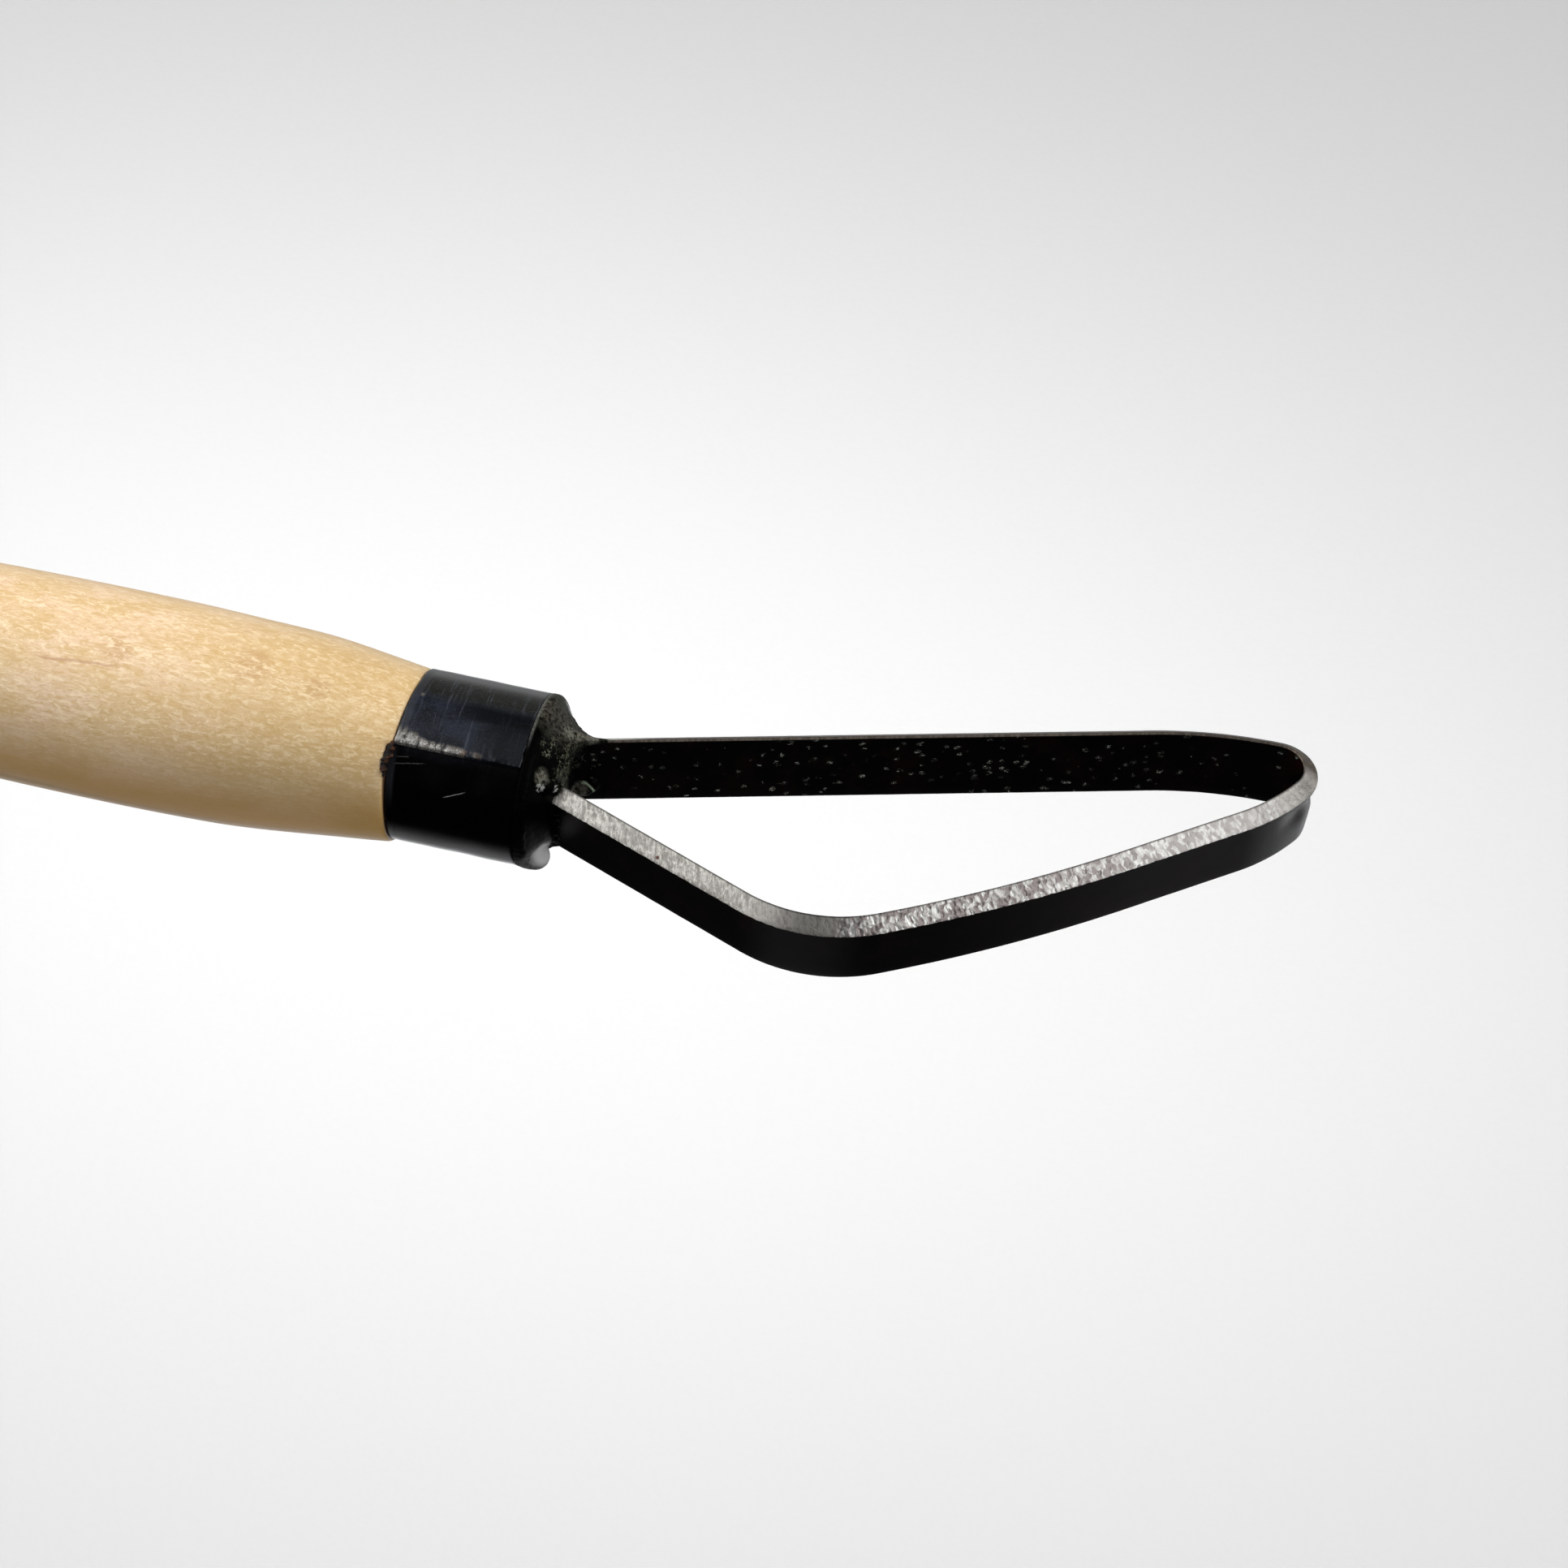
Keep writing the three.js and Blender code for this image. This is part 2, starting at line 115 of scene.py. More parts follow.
class Graph:
    """Builds the nodes of one tree."""

    def __init__(self, tree: bpy.types.NodeTree) -> None:
        """Keeps the tree."""
        self.tree = tree

    def plug(self, socket: Socket, value: Any) -> None:
        """Gives an input socket its value or its link."""
        if isinstance(value, Field):
            value = value.socket
        if isinstance(value, Socket):
            self.tree.links.new(value, socket)
        else:
            socket.default_value = value

    def node(
        self, kind: str, settings: dict[str, Any] | None = None, inputs: dict[Any, Any] | None = None
    ) -> bpy.types.Node:
        """Adds any node.

        Args:
            kind: The node's type name.
            settings: Its properties, set before its sockets.
            inputs: Values or links by socket name or number.

        Returns:
            The node.
        """
        made = self.tree.nodes.new(kind)
        for name, value in (settings or {}).items():
            setattr(made, name, value)
        for key, value in (inputs or {}).items():
            self.plug(made.inputs[key], value)
        return made

    def maths(self, operation: str, *operands: Any) -> Field:
        """Adds a Math node."""
        made = self.node("ShaderNodeMath", {"operation": operation}, dict(enumerate(operands)))
        return Field(self, made.outputs[0])

    def smooth_range(self, value: Field, low: float, high: float) -> Field:
        """A smooth Map Range node."""
        made = self.node(
            "ShaderNodeMapRange",
            {"interpolation_type": "SMOOTHSTEP"},
            {"Value": value, "From Min": low, "From Max": high},
        )
        return Field(self, made.outputs[0])

    def vector(self, operation: str, *operands: Any) -> Socket:
        """Adds a Vector Math node.

        Args:
            operation: Its operation.
            operands: Sockets, fields or plain values, in order. A scale goes to the Scale socket.

        Returns:
            Its vector.
        """
        keys: list[Any] = [0, "Scale"] if operation == "SCALE" else [0, 1]
        made = self.node("ShaderNodeVectorMath", {"operation": operation}, dict(zip(keys, operands)))
        return made.outputs["Vector"]

    def parts(self, vector: Socket) -> tuple[Field, Field, Field]:
        """The three parts of a vector."""
        made = self.node("ShaderNodeSeparateXYZ", None, {0: vector})
        return tuple(Field(self, socket) for socket in made.outputs)

    def noise(
        self, at: Socket, scale: float, detail: float = 3.0, roughness: float = 0.55, twist: float = 0.0
    ) -> Field:
        """A noise texture."""
        made = self.node(
            "ShaderNodeTexNoise",
            None,
            {"Vector": at, "Scale": scale, "Detail": detail, "Roughness": roughness, "Distortion": twist},
        )
        return Field(self, made.outputs[0])

    def cells(
        self, at: Socket, scale: float, output: str = "Distance", feature: str = "F1"
    ) -> Field:
        """A Voronoi texture."""
        made = self.node("ShaderNodeTexVoronoi", {"feature": feature}, {"Vector": at, "Scale": scale})
        return Field(self, made.outputs[output])

    def curls(self, at: Socket, scale: float, width: float) -> Field:
        """Thin curling lines, which are the level lines of a noise."""
        return abs(self.noise(at, scale, 1.5, 0.5, 0.6) - 0.5).step(width, width * 0.4)

    def near(self, at: Socket, spot: Spot, reach: float) -> Field:
        """How near a place is to a spot."""
        made = self.node("ShaderNodeVectorMath", {"operation": "DISTANCE"}, {0: at, 1: spot})
        return Field(self, made.outputs["Value"]).step(reach, reach * 0.35)


class ShaderGraph(Graph):
    """The nodes of one material."""

    def __init__(self, name: str) -> None:
        """Makes the material with an empty tree."""
        self.material = bpy.data.materials.new(name)
        self.material.use_nodes = True
        super().__init__(self.material.node_tree)
        self.tree.nodes.clear()

    def millimetres(self) -> Socket:
        """The place on the piece, in millimetres."""
        made = self.node("ShaderNodeTexCoord")
        return self.vector("SCALE", made.outputs["Object"], 1 / MM)

    def stretched(self, at: Socket, by: Spot) -> Socket:
        """A place with each of its parts multiplied."""
        return self.vector("MULTIPLY", at, by)

    def grain(
        self, at: Socket, by: Spot, detail: float, roughness: float = 0.55, twist: float = 0.0
    ) -> Field:
        """A noise texture at a place whose parts are each multiplied."""
        return self.noise(self.stretched(at, by), 1.0, detail, roughness, twist)

    def attribute(self, name: str) -> Socket:
        """A named attribute of the mesh as a vector."""
        return self.node("ShaderNodeAttribute", {"attribute_name": name}).outputs["Vector"]

    def amount(self, name: str) -> Field:
        """A named attribute of the mesh as a number."""
        return Field(self, self.node("ShaderNodeAttribute", {"attribute_name": name}).outputs["Fac"])

    def mix(self, factor: Any, first: Any, second: Any, blend: str = "MIX") -> Socket:
        """Mixes two colours.

        Args:
            factor: The second one's share, as a field or a number.
            first: A colour or its socket.
            second: A colour or its socket.
            blend: How they are mixed.

        Returns:
            The mixed colour.
        """
        made = self.node("ShaderNodeMix", {"data_type": "RGBA", "blend_type": blend, "clamp_factor": True})
        self.plug(made.inputs[0], factor)
        self.plug(made.inputs[6], first)
        self.plug(made.inputs[7], second)
        return made.outputs[2]

    def layers(self, colour: Any, *coats: tuple[Any, Any]) -> Any:
        """Lays coats over a colour."""
        for share, coat in coats:
            colour = self.mix(share, colour, coat)
        return colour

    def bump(self, height: Field, depth: float, below: Socket | None = None) -> Socket:
        """Turns a height into a normal.

        Args:
            height: The height, round 0 to 1.
            depth: How deep a height of 1 is, in millimetres.
            below: The normal of a coarser bump.

        Returns:
            The normal.
        """
        inputs: dict[Any, Any] = {"Height": height, "Strength": 1.0, "Distance": depth * MM}
        if below is not None:
            inputs["Normal"] = below
        return self.node("ShaderNodeBump", None, inputs).outputs["Normal"]

    def surface(self, sockets: dict[str, Any]) -> Material:
        """Ends the tree with a surface shader.

        Args:
            sockets: Values or links of its sockets.

        Returns:
            The material.
        """
        shader = self.node("ShaderNodeBsdfPrincipled", None, sockets)
        self.node("ShaderNodeOutputMaterial", None, {"Surface": shader.outputs[0]})
        return self.material


class Metal(Enum):
    """The blackened metals of the head."""

    SHEET = "ferrule_sheet"
    CAP = "cap_lacquer"
    WELD = "weld_metal"


@dataclass(frozen=True)
class StripSize:
    """The strip's section, and where its two legs stand on the cap."""

    width: float = 8.4
    thickness: float = 1.55
    bevel_drop: float = 1.33
    flare: float = 0.074
    near_offset: float = -3.28
    near_heading: float = -21.2
    far_offset: float = 2.39

    @property
    def foot(self) -> float:
        """How far outwards the bevel's foot lies."""
        return self.thickness - self.flare * self.bevel_drop


@dataclass(frozen=True)
class WoodFinish:
    """Sanded light hardwood under a thin seal, with fine streaks along the handle."""

    pale: Colour = rgb(0.75, 0.545, 0.305)
    rosy: Colour = rgb(0.82, 0.60, 0.405)
    ochre: Colour = rgb(0.64, 0.420, 0.185)
    brown: Colour = rgb(0.36, 0.20, 0.080)
    joint_x: float = 130.0
    smudges: tuple[Patch, ...] = (
        (102.2, -2.9, 10.1, 2.4),
        (115.2, -1.4, 10.1, 2.8),
        (122.0, -2.0, 9.5, 1.8),
    )
    pale_figure_and_highlight: Colour = rgb(0.95, 0.76, 0.51)
    light_streak: Colour = rgb(0.90, 0.69, 0.44)
    shaded_underside: Colour = rgb(0.70, 0.385, 0.105)
    dark_band: Colour = rgb(0.40, 0.21, 0.06)
    fine_crack: Colour = rgb(0.42, 0.20, 0.11)
    smudge: Colour = rgb(0.56, 0.34, 0.17)
    glue_stain: Colour = rgb(0.60, 0.33, 0.050)
    painted_shoulder_shade: Colour = rgb(0.88, 0.87, 0.81)
    seal_tint: Colour = rgb(0.90, 0.91, 0.93)
    joint_grime: Colour = rgb(0.045, 0.014, 0.007)

    def material(self) -> Material:
        """Builds the wood."""
        g = ShaderGraph("turned_wood")
        at = g.millimetres()
        x, y, z = g.parts(at)
        broad = g.grain(at, (0.035, 0.16, 0.16), 2.0)
        blotch = g.grain(at, (0.16, 0.34, 0.34), 3.0, 0.6, 0.4)
        streak = g.grain(at, (0.22, 2.6, 2.6), 4.0, 0.62)
        fibre = g.grain(at, (1.4, 9.0, 9.0), 3.0, 0.6)
        rings = (((y + 31.0) ** 2.0 + (z + 17.0) ** 2.0).root() * 1.15 + broad * 6.0 + x * 0.012).sine()
        flecks = g.cells(g.stretched(at, (0.45, 1.9, 1.9)), 1.0)
        colour = g.mix(broad.step(0.36, 0.62) * 0.40, self.pale, self.ochre)
        figure = g.grain(at, (1.0, 2.5, 2.5), 4.0, 0.72, 0.8)
        left = x.step(124.0, 100.0) * 0.65 + 0.20
        colour = g.mix(blotch.step(0.42, 0.64) * left, colour, self.rosy)
        # The pale figure grows stronger towards the top: partly the wood's own figure, partly a painted highlight.
        figure_and_painted_highlight = 0.30 + z.step(1.0, 8.0) * 0.42
        colour = g.layers(
            colour,
            (figure.step(0.50, 0.62) * figure_and_painted_highlight, self.pale_figure_and_highlight),
            (figure.step(0.49, 0.36) * figure_and_painted_highlight, self.ochre),
            # Painted shade: the side towards +Y is darkened towards ochre.
            (y.step(1.0, 7.0) * 0.40, self.ochre),
            ((rings * 0.5 + 0.5) ** 3.0 * 0.20, self.ochre),
            (streak.step(0.50, 0.66) * 0.30, self.ochre),
            (streak.step(0.44, 0.30) * 0.26, self.light_streak),
            (flecks.step(0.24, 0.06) * blotch.step(0.46, 0.60) * 0.20, self.brown),
            (fibre.step(0.54, 0.70) * 0.20, self.brown),
        )
        # Painted shade: the lower side towards -Y and -Z is darkened to a warm orange.
        under = z.step(5.0, -3.0) * y.step(2.0, -5.0)
        colour = g.mix(under * (0.45 + broad.step(0.30, 0.60) * 0.45), colour, self.shaded_underside)
        band = abs(z + 5.2 + (broad - 0.5) * 4.0 + y * 0.10).step(1.1, 0.2) * y.step(0.0, -3.0)
        colour = g.mix(band * 0.28, colour, self.dark_band)
        crack = abs(z - 9.52 - (x - 98.0) * 0.030 + (blotch - 0.5) * 0.5).step(0.09, 0.02)
        crack = crack * abs(x - 98.5).step(5.0, 2.5) * y.step(0.0, -2.0)
        colour = g.mix(crack * 0.46, colour, self.fine_crack)
        for sx, sy, sz, reach in self.smudges:
            colour = g.mix(g.near(at, (sx, sy, sz), reach) * figure.step(0.58, 0.44) * 0.55, colour, self.smudge)
        stain = (x + blotch * 9.0).step(self.joint_x - 3.0, self.joint_x + 4.5) * z.step(5.0, -3.0)
        colour = g.mix(stain * 0.80, colour, self.glue_stain)
        # Painted shade: the upper side darkens towards the shoulder.
        colour = g.mix(x.step(98.0, 129.0) * z.step(-3.0, 5.0), colour, self.painted_shoulder_shade, "MULTIPLY")
        colour = g.mix(0.55, colour, self.seal_tint, "MULTIPLY")
        grime = g.amount("joint")
        colour = g.mix(grime * 0.92, colour, self.joint_grime)
        height = streak * 0.6 + fibre * 0.4
        return g.surface(
            {
                "Base Color": colour,
                "Roughness": 0.46 + (fibre - 0.5) * 0.25,
                "Normal": g.bump(height, 0.035),
                "Specular IOR Level": 0.30,
                "Coat Weight": 0.45,
                "Coat Roughness": 0.22,
            }
        )


@dataclass(frozen=True)
class SheetFinish:
    """Blue-black rolled sheet with worn edges and fine scratches round and along it, and a painted sheen on its upper
    side.
    """

    dark: Colour = rgb(0.0003, 0.0003, 0.0006)
    painted_blue_sheen: Colour = rgb(0.0130, 0.0155, 0.0250)
    green: Colour = rgb(0.0100, 0.0105, 0.0085)
    rubbed_and_highlight: Colour = rgb(0.62, 0.60, 0.57)
    rust: Colour = rgb(0.10, 0.040, 0.016)
    scratches: tuple[tuple[float, float, float, float, float], ...] = (
        (136.8, 4.03, 1.15, 0.30, 0.26),
        (131.9, 5.40, 1.70, 0.10, 0.09),
        (131.2, 5.75, 0.70, 0.10, 0.10),
    )
    speckle: Colour = rgb(0.040, 0.041, 0.040)
    fine_scratch: Colour = rgb(0.060, 0.064, 0.080)
    low_dust_and_reflection: Colour = rgb(0.036, 0.034, 0.036)
    rim_wear_and_sheen: Colour = rgb(0.034, 0.036, 0.044)
    dust: Colour = rgb(0.130, 0.120, 0.105)
    seam_rust: Colour = rgb(0.040, 0.012, 0.006)
    long_scratch: Colour = rgb(0.55, 0.54, 0.52)

    def material(self) -> Material:
        """Builds the sheet's finish from its wear attribute."""
        g = ShaderGraph(Metal.SHEET.value)
        at = g.millimetres()
        x, y, z = g.parts(at)
        cloud = g.noise(at, 0.45, 4.0, 0.6)
        brushed = g.grain(at, (3.6, 0.20, 0.20), 4.0, 0.75)
        drawn = g.grain(at, (0.30, 5.5, 5.5), 4.0, 0.7)
        speck = g.noise(at, 6.5, 3.0, 0.75)
        wear = g.amount("wear")
        # The rear rim's band is lighter on the upper side only: partly wear, partly a painted sheen.
        rim = g.amount("rim") * z.step(1.0, 5.0)
        scratch = (brushed.step(0.56, 0.66) * 0.8 + drawn.step(0.60, 0.70) * 0.8).least(1.0)
        # Bare metal on the seam ridge, set where its highlight lies: partly wear, partly a painted highlight.
        bare = ((wear - 0.42) * 2.0 + (speck - 0.5) * 4.2).step(0.35, 0.75)
        dusty = wear.step(0.10, 0.50) * (1 - bare)
        # Painted reflection: the upper side gets a blue and green sheen, and its speckles and fine scratches show
        # mostly there; dusk and front take the sheen back to dark.
        top = z.step(5.6, 7.4)
        dusk = (x + (cloud - 0.5) * 5.0).step(133.0, 138.5) * z.step(8.20, 8.46) * abs(y + 0.3).step(1.6, 0.5)
        front = (x + (cloud - 0.5) * 3.0).step(136.5, 140.5) * y.step(0.6, -0.8)
        crown = (y + (cloud - 0.5) * 1.2).step(0.0, 1.8)
        colour = g.mix(top * (0.35 + cloud.step(0.34, 0.60) * 0.65), self.dark, self.painted_blue_sheen)
        colour = g.layers(
            colour,
            (crown * top, self.green),
            (speck.step(0.52, 0.66) * top * 0.55, self.speckle),
            (scratch * (0.01 + top * 0.55), self.fine_scratch),
            ((dusk * 0.85).most(front * 0.75), self.dark),
        )
        # Lighter specks low on the sheet: partly dust, partly a painted reflection of the floor.
        foot = z.step(0.0, -2.5)
        colour = g.layers(
            colour,
            (foot * speck.step(0.44, 0.60) * 0.6, self.low_dust_and_reflection),
            (rim * 0.45, self.rim_wear_and_sheen),
            (dusty * 0.85, self.dust),
            (dusty * cloud.step(0.50, 0.62) * 0.5, self.rust),
            (dusty * x.step(131.2, 130.6) * z.step(5.5, 3.5), self.seam_rust),
        )
        line = 0.0
        for start, height, length, slope, amount in self.scratches:
            level = abs(z - height - (x - start) * slope + (cloud - 0.5) * 0.30).step(0.055, 0.020)
            line = level * abs(x - start).step(length, length * 0.6) * amount + line
        colour = g.layers(
            colour,
            (line * y.step(0.0, -2.0) * speck.step(0.36, 0.50), self.long_scratch),
            (bare, self.rubbed_and_highlight),
        )
        rough = 0.14 + top * 0.14 + (speck - 0.5) * 0.16
        height = brushed * 0.45 + drawn * 0.35 + speck * (0.5 + z.step(-2.5, -5.5) * 2.5) + cloud
        return g.surface(
            {
                "Base Color": colour,
                "Metallic": bare * 0.8,
                "Roughness": rough + scratch * top * 0.12 + rim * 0.10 + bare * 0.15,
                "Normal": g.bump(height, 0.009),
                "Specular IOR Level": 0.45,
            }
        )


@dataclass(frozen=True)
class WeldFinish:
    """Rough weld metal under a thin, dull lacquer, mottled grey, green and brown; the mottle is painted light on its
    lit sides, with painted highlights and a painted pit shade.
    """

    metal: Metal
    black: Colour = rgb(0.0004, 0.0004, 0.0003)
    grey: Colour = rgb(0.062, 0.058, 0.044)
    green: Colour = rgb(0.0050, 0.0085, 0.0055)
    brown: Colour = rgb(0.020, 0.011, 0.005)
    curl: Colour = rgb(0.270, 0.290, 0.200)
    bare: Colour = rgb(0.60, 0.60, 0.57)
    burn: Spot = (145.2, 3.6, 4.3)
    rubbed_and_highlight: tuple[Patch, ...] = (
        (144.75, -4.95, 5.25, 0.62),
        (146.00, -4.15, 4.55, 0.50),
    )
    films: tuple[Patch, ...] = (
        (145.70, 2.00, 5.70, 1.2),
        (146.60, 2.50, 5.10, 0.9),
        (147.80, 2.80, 4.50, 1.0),
        (144.66, -4.10, 5.88, 1.1),
        (146.70, 1.80, -2.30, 1.2),
    )
    pitting: float = 0.05
    shine: float = 0.42
    grey_film: Colour = rgb(0.120, 0.115, 0.092)
    painted_edge_reflection: Colour = rgb(0.36, 0.37, 0.35)
    burnt: Colour = rgb(0.012, 0.006, 0.003)
    painted_lip_highlight: Colour = rgb(0.115, 0.115, 0.105)
    run_metal: Colour = rgb(0.185, 0.187, 0.180)
    painted_drop_highlight: Colour = rgb(0.92, 0.92, 0.90)
    painted_ring_highlight: Colour = rgb(0.30, 0.36, 0.27)
    above_between: Spot = (144.7, -1.2, 7.0)
    between_legs: Spot = (146.0, -1.2, 2.9)
    run_at: Spot = (144.8, -6.7, -3.3)
    drop_highlight_at: Spot = (145.2, -6.3, -3.2)
    pit_shade_at: Spot = (145.45, -4.75, 4.65)

    def material(self) -> Material:
        """Builds the weld's finish."""
        g = ShaderGraph(self.metal.value)
        at = g.millimetres()
        x, y, z = g.parts(at)
        patch = g.noise(at, 0.55, 3.0, 0.6, 0.6)
        crumb = g.noise(at, 2.4, 4.0, 0.68, 0.3)
        grit = g.noise(at, 7.5, 3.0, 0.7)
        # Painted light and shade: the grey, green and brown mottle shows high on the far side and low underneath, and
        # the rest stays black.
        high = (y + (patch - 0.5) * 2.2).step(-0.9, 1.5) * z.step(3.2, 5.4)
        low = (z * -1.0 - y * 0.5 + (patch - 0.5) * 3.0).step(6.4, 8.0)
        painted_lit_sides = (high + low * 0.9).least(1.0)
        colour = g.mix((crumb * 0.5 + grit * 0.3 + patch * 0.2).step(0.42, 0.58) * painted_lit_sides, self.black, self.grey)
        colour = g.layers(
            colour,
            (patch.step(0.50, 0.62) * (painted_lit_sides * 0.6 + 0.08), self.green),
            (grit.step(0.50, 0.66) * patch.step(0.54, 0.40) * high * 0.7, self.brown),
        )
        between = g.near(at, self.above_between, 1.7) + g.near(at, self.between_legs, 3.8)
        curls = (g.curls(at, 1.7, 0.030) + g.curls(at, 3.3, 0.035)) * grit.step(0.44, 0.54) * between
        colour = g.mix((curls * crumb.step(0.44, 0.56) * patch.step(0.62, 0.50)).least(1.0), colour, self.curl)
        for fx, fy, fz, reach in self.films:
            film = g.near(at, (fx, fy, fz), reach) * crumb.step(0.36, 0.58)
            colour = g.mix(film, colour, self.grey_film)
        # Painted reflection: a light line along the far outline of the cone.
        silhouette_reflection = abs(z * 0.866 - y * 0.5 - 0.45).step(0.45, 0.10) * x.step(143.5, 143.9) * y.step(2.0, 4.0)
        colour = g.layers(
            colour,
            (silhouette_reflection * 0.8, self.painted_edge_reflection),
            (g.near(at, self.burn, 0.9) * 0.8, self.burnt),
        )
        # Painted highlight: a broken light line along the bead's rear lip on the near side.
        lip_highlight = x.step(143.20, 142.95) * y.step(-3.2, -0.6) * z.step(2.0, 5.0) * grit.step(0.36, 0.52)
        colour = g.mix(lip_highlight * 0.7, colour, self.painted_lip_highlight)
        # The weld run low on the near side is lighter grey; a painted highlight lies on its right part.
        run = g.near(at, self.run_at, 2.5)
        colour = g.layers(
            colour,
            (run * (0.35 + crumb.step(0.40, 0.60) * 0.65), self.run_metal),
            (g.near(at, self.drop_highlight_at, 1.6) * 0.9, self.painted_drop_highlight),
        )
        # Painted highlight: a light ring along the outline of the lump on the far leg.
        ring = ((x - 147.1) ** 2.0 + (z + 2.45) ** 2.0).root()
        rim = abs(ring - 1.0).step(0.15, 0.04) * x.step(146.7, 147.3) * y.step(1.0, 1.6) * grit.step(0.32, 0.50)
        colour = g.mix(rim, colour, self.painted_ring_highlight)
        # Painted shade: a black spot stands for the pit in the near lump.
        pit_shade = g.near(at, self.pit_shade_at, 0.50)
        colour = g.mix(pit_shade, colour, self.black)
        # Bare metal glints on the near lump, set where its highlights fall: partly rubbed metal, partly a painted
        # highlight.
        bright = 0.0
        for bx, by, bz, reach in self.rubbed_and_highlight:
            bright = g.near(at, (bx, by, bz), reach) + bright
        glint = (bright + (grit - 0.5) * 4.0 + (crumb - 0.5) * 3.0).step(0.50, 0.85) * bright.step(0.02, 0.30)
        glint = glint * g.curls(at, 2.3, 0.11) * (1 - pit_shade)
        colour = g.mix(glint, colour, self.bare)
        height = crumb * (0.55 + run * 1.2) + grit * 0.25 + patch * 0.6 + curls * 0.35
        return g.surface(
            {
                "Base Color": colour,
                "Metallic": glint * 0.7,
                "Roughness": self.shine + (grit - 0.5) * 0.3,
                "Normal": g.bump(height, self.pitting),
                "Specular IOR Level": 0.04,
            }
        )


@dataclass(frozen=True)
class RibbonFinish:
    """Black lacquered strip whose cutting edge is ground to bare steel across its thickness."""

    strip: StripSize
    bow_start: float
    tip_start: float
    tip_end: float
    black: Colour = rgb(0.0008, 0.0007, 0.0008)
    brown: Colour = rgb(0.0100, 0.0022, 0.0011)
    steel: Colour = rgb(0.86, 0.82, 0.76)
    shade: Colour = rgb(0.66, 0.62, 0.57)
    mauve: Colour = rgb(0.34, 0.295, 0.285)
    painted_sparkle: Colour = rgb(0.99, 0.98, 0.94)
    rust: Colour = rgb(0.034, 0.025, 0.016)
    grinding_lean: float = 0.55
    leg_dark: Colour = rgb(0.44, 0.415, 0.375)
    leg_light: Colour = rgb(0.84, 0.805, 0.74)
    dark_nick: Colour = rgb(0.30, 0.27, 0.245)
    light_nick: Colour = rgb(0.97, 0.94, 0.86)
    rust_spot: Colour = rgb(0.12, 0.030, 0.020)
    bow_dark: Colour = rgb(0.54, 0.515, 0.48)
    bow_light: Colour = rgb(0.82, 0.795, 0.76)
    inner_rim: Colour = rgb(0.10, 0.09, 0.08)
    worn_back: Colour = rgb(0.080, 0.062, 0.042)
    dried_film: Colour = rgb(0.30, 0.30, 0.26)
    chipped: Colour = rgb(0.42, 0.45, 0.38)
    wire_edge: Colour = rgb(0.31, 0.255, 0.205)
    burr: Colour = rgb(0.06, 0.028, 0.014)
    rust_at: Spot = (157.35, -8.6, 3.17)

    def material(self) -> Material:
        """Builds the strip's finish. Its strip attribute holds the place along, outwards and downwards."""
        g = ShaderGraph("ribbon_strip")
        at = g.millimetres()
        strip = g.attribute("strip")
        along, out, down = g.parts(strip)
        foot, drop = self.strip.foot, self.strip.bevel_drop
        plane = abs(down * foot - out * drop) / math.hypot(foot, drop)
        wander = g.grain(strip, (1.1, 0.0, 0.0), 4.0, 0.7) - 0.5
        foot_line = (down + wander * 0.30).step(drop + 0.03, drop - 0.01)
        ground = plane.step(0.035, 0.015) * foot_line
        bent = g.vector("ADD", strip, g.vector("SCALE", g.noise(strip, 1.3, 2.0).socket, 0.55))
        turned = {"Vector": bent, "Rotation": (0.0, 0.0, self.grinding_lean)}
        lean = g.node("ShaderNodeMapping", {"vector_type": "POINT"}, turned).outputs[0]
        across = g.grain(lean, (3.6, 0.7, 0.7), 4.0, 0.70)
        pocked = g.stretched(bent, (2.7, 1.8, 1.8))
        hollow = g.cells(pocked, 1.0, "Distance", "SMOOTH_F1")
        tone = g.cells(pocked, 1.0, "Color")
        cloud = g.grain(strip, (0.16, 0.5, 0.5), 2.0)
        grit = g.noise(at, 6.0, 4.0, 0.7)
        bow_reach = along.step(self.bow_start - 4.0, self.bow_start - 2.0)
        on_bow = bow_reach * along.step(self.tip_start + 1.0, self.tip_start - 2.0)
        strong = along.step(self.tip_start - 2.0, self.bow_start + 14.0) * 0.55 + 0.45
        on_leg = along.step(self.bow_start - 9.0, self.bow_start - 13.0)
        back = along.step(self.tip_end - 5.8, self.tip_end - 3.2)
        leg = g.mix(across.step(0.38, 0.62), self.leg_dark, self.leg_light)
        steel = g.mix(across.step(0.36, 0.64) * 0.5 + 0.2, self.shade, self.steel)
        nicks = g.grain(lean, (2.6, 1.5, 1.5), 4.0, 0.78)
        steel = g.layers(
            steel,
            (on_leg, leg),
            (nicks.step(0.49, 0.38) * (0.50 + on_leg * 0.15), self.dark_nick),
            (nicks.step(0.53, 0.60) * (0.30 + on_leg * 0.65), self.light_nick),
            (g.near(at, self.rust_at, 0.34), self.rust_spot),
        )
        far = along.step(self.bow_start + 12.0, self.tip_start - 4.0) * 0.16
        pale = g.mix(across.step(0.40, 0.62) + far, self.bow_dark, self.bow_light)
        pitted = g.mix(tone.step(0.56, 0.42) * strong, pale, self.mauve)
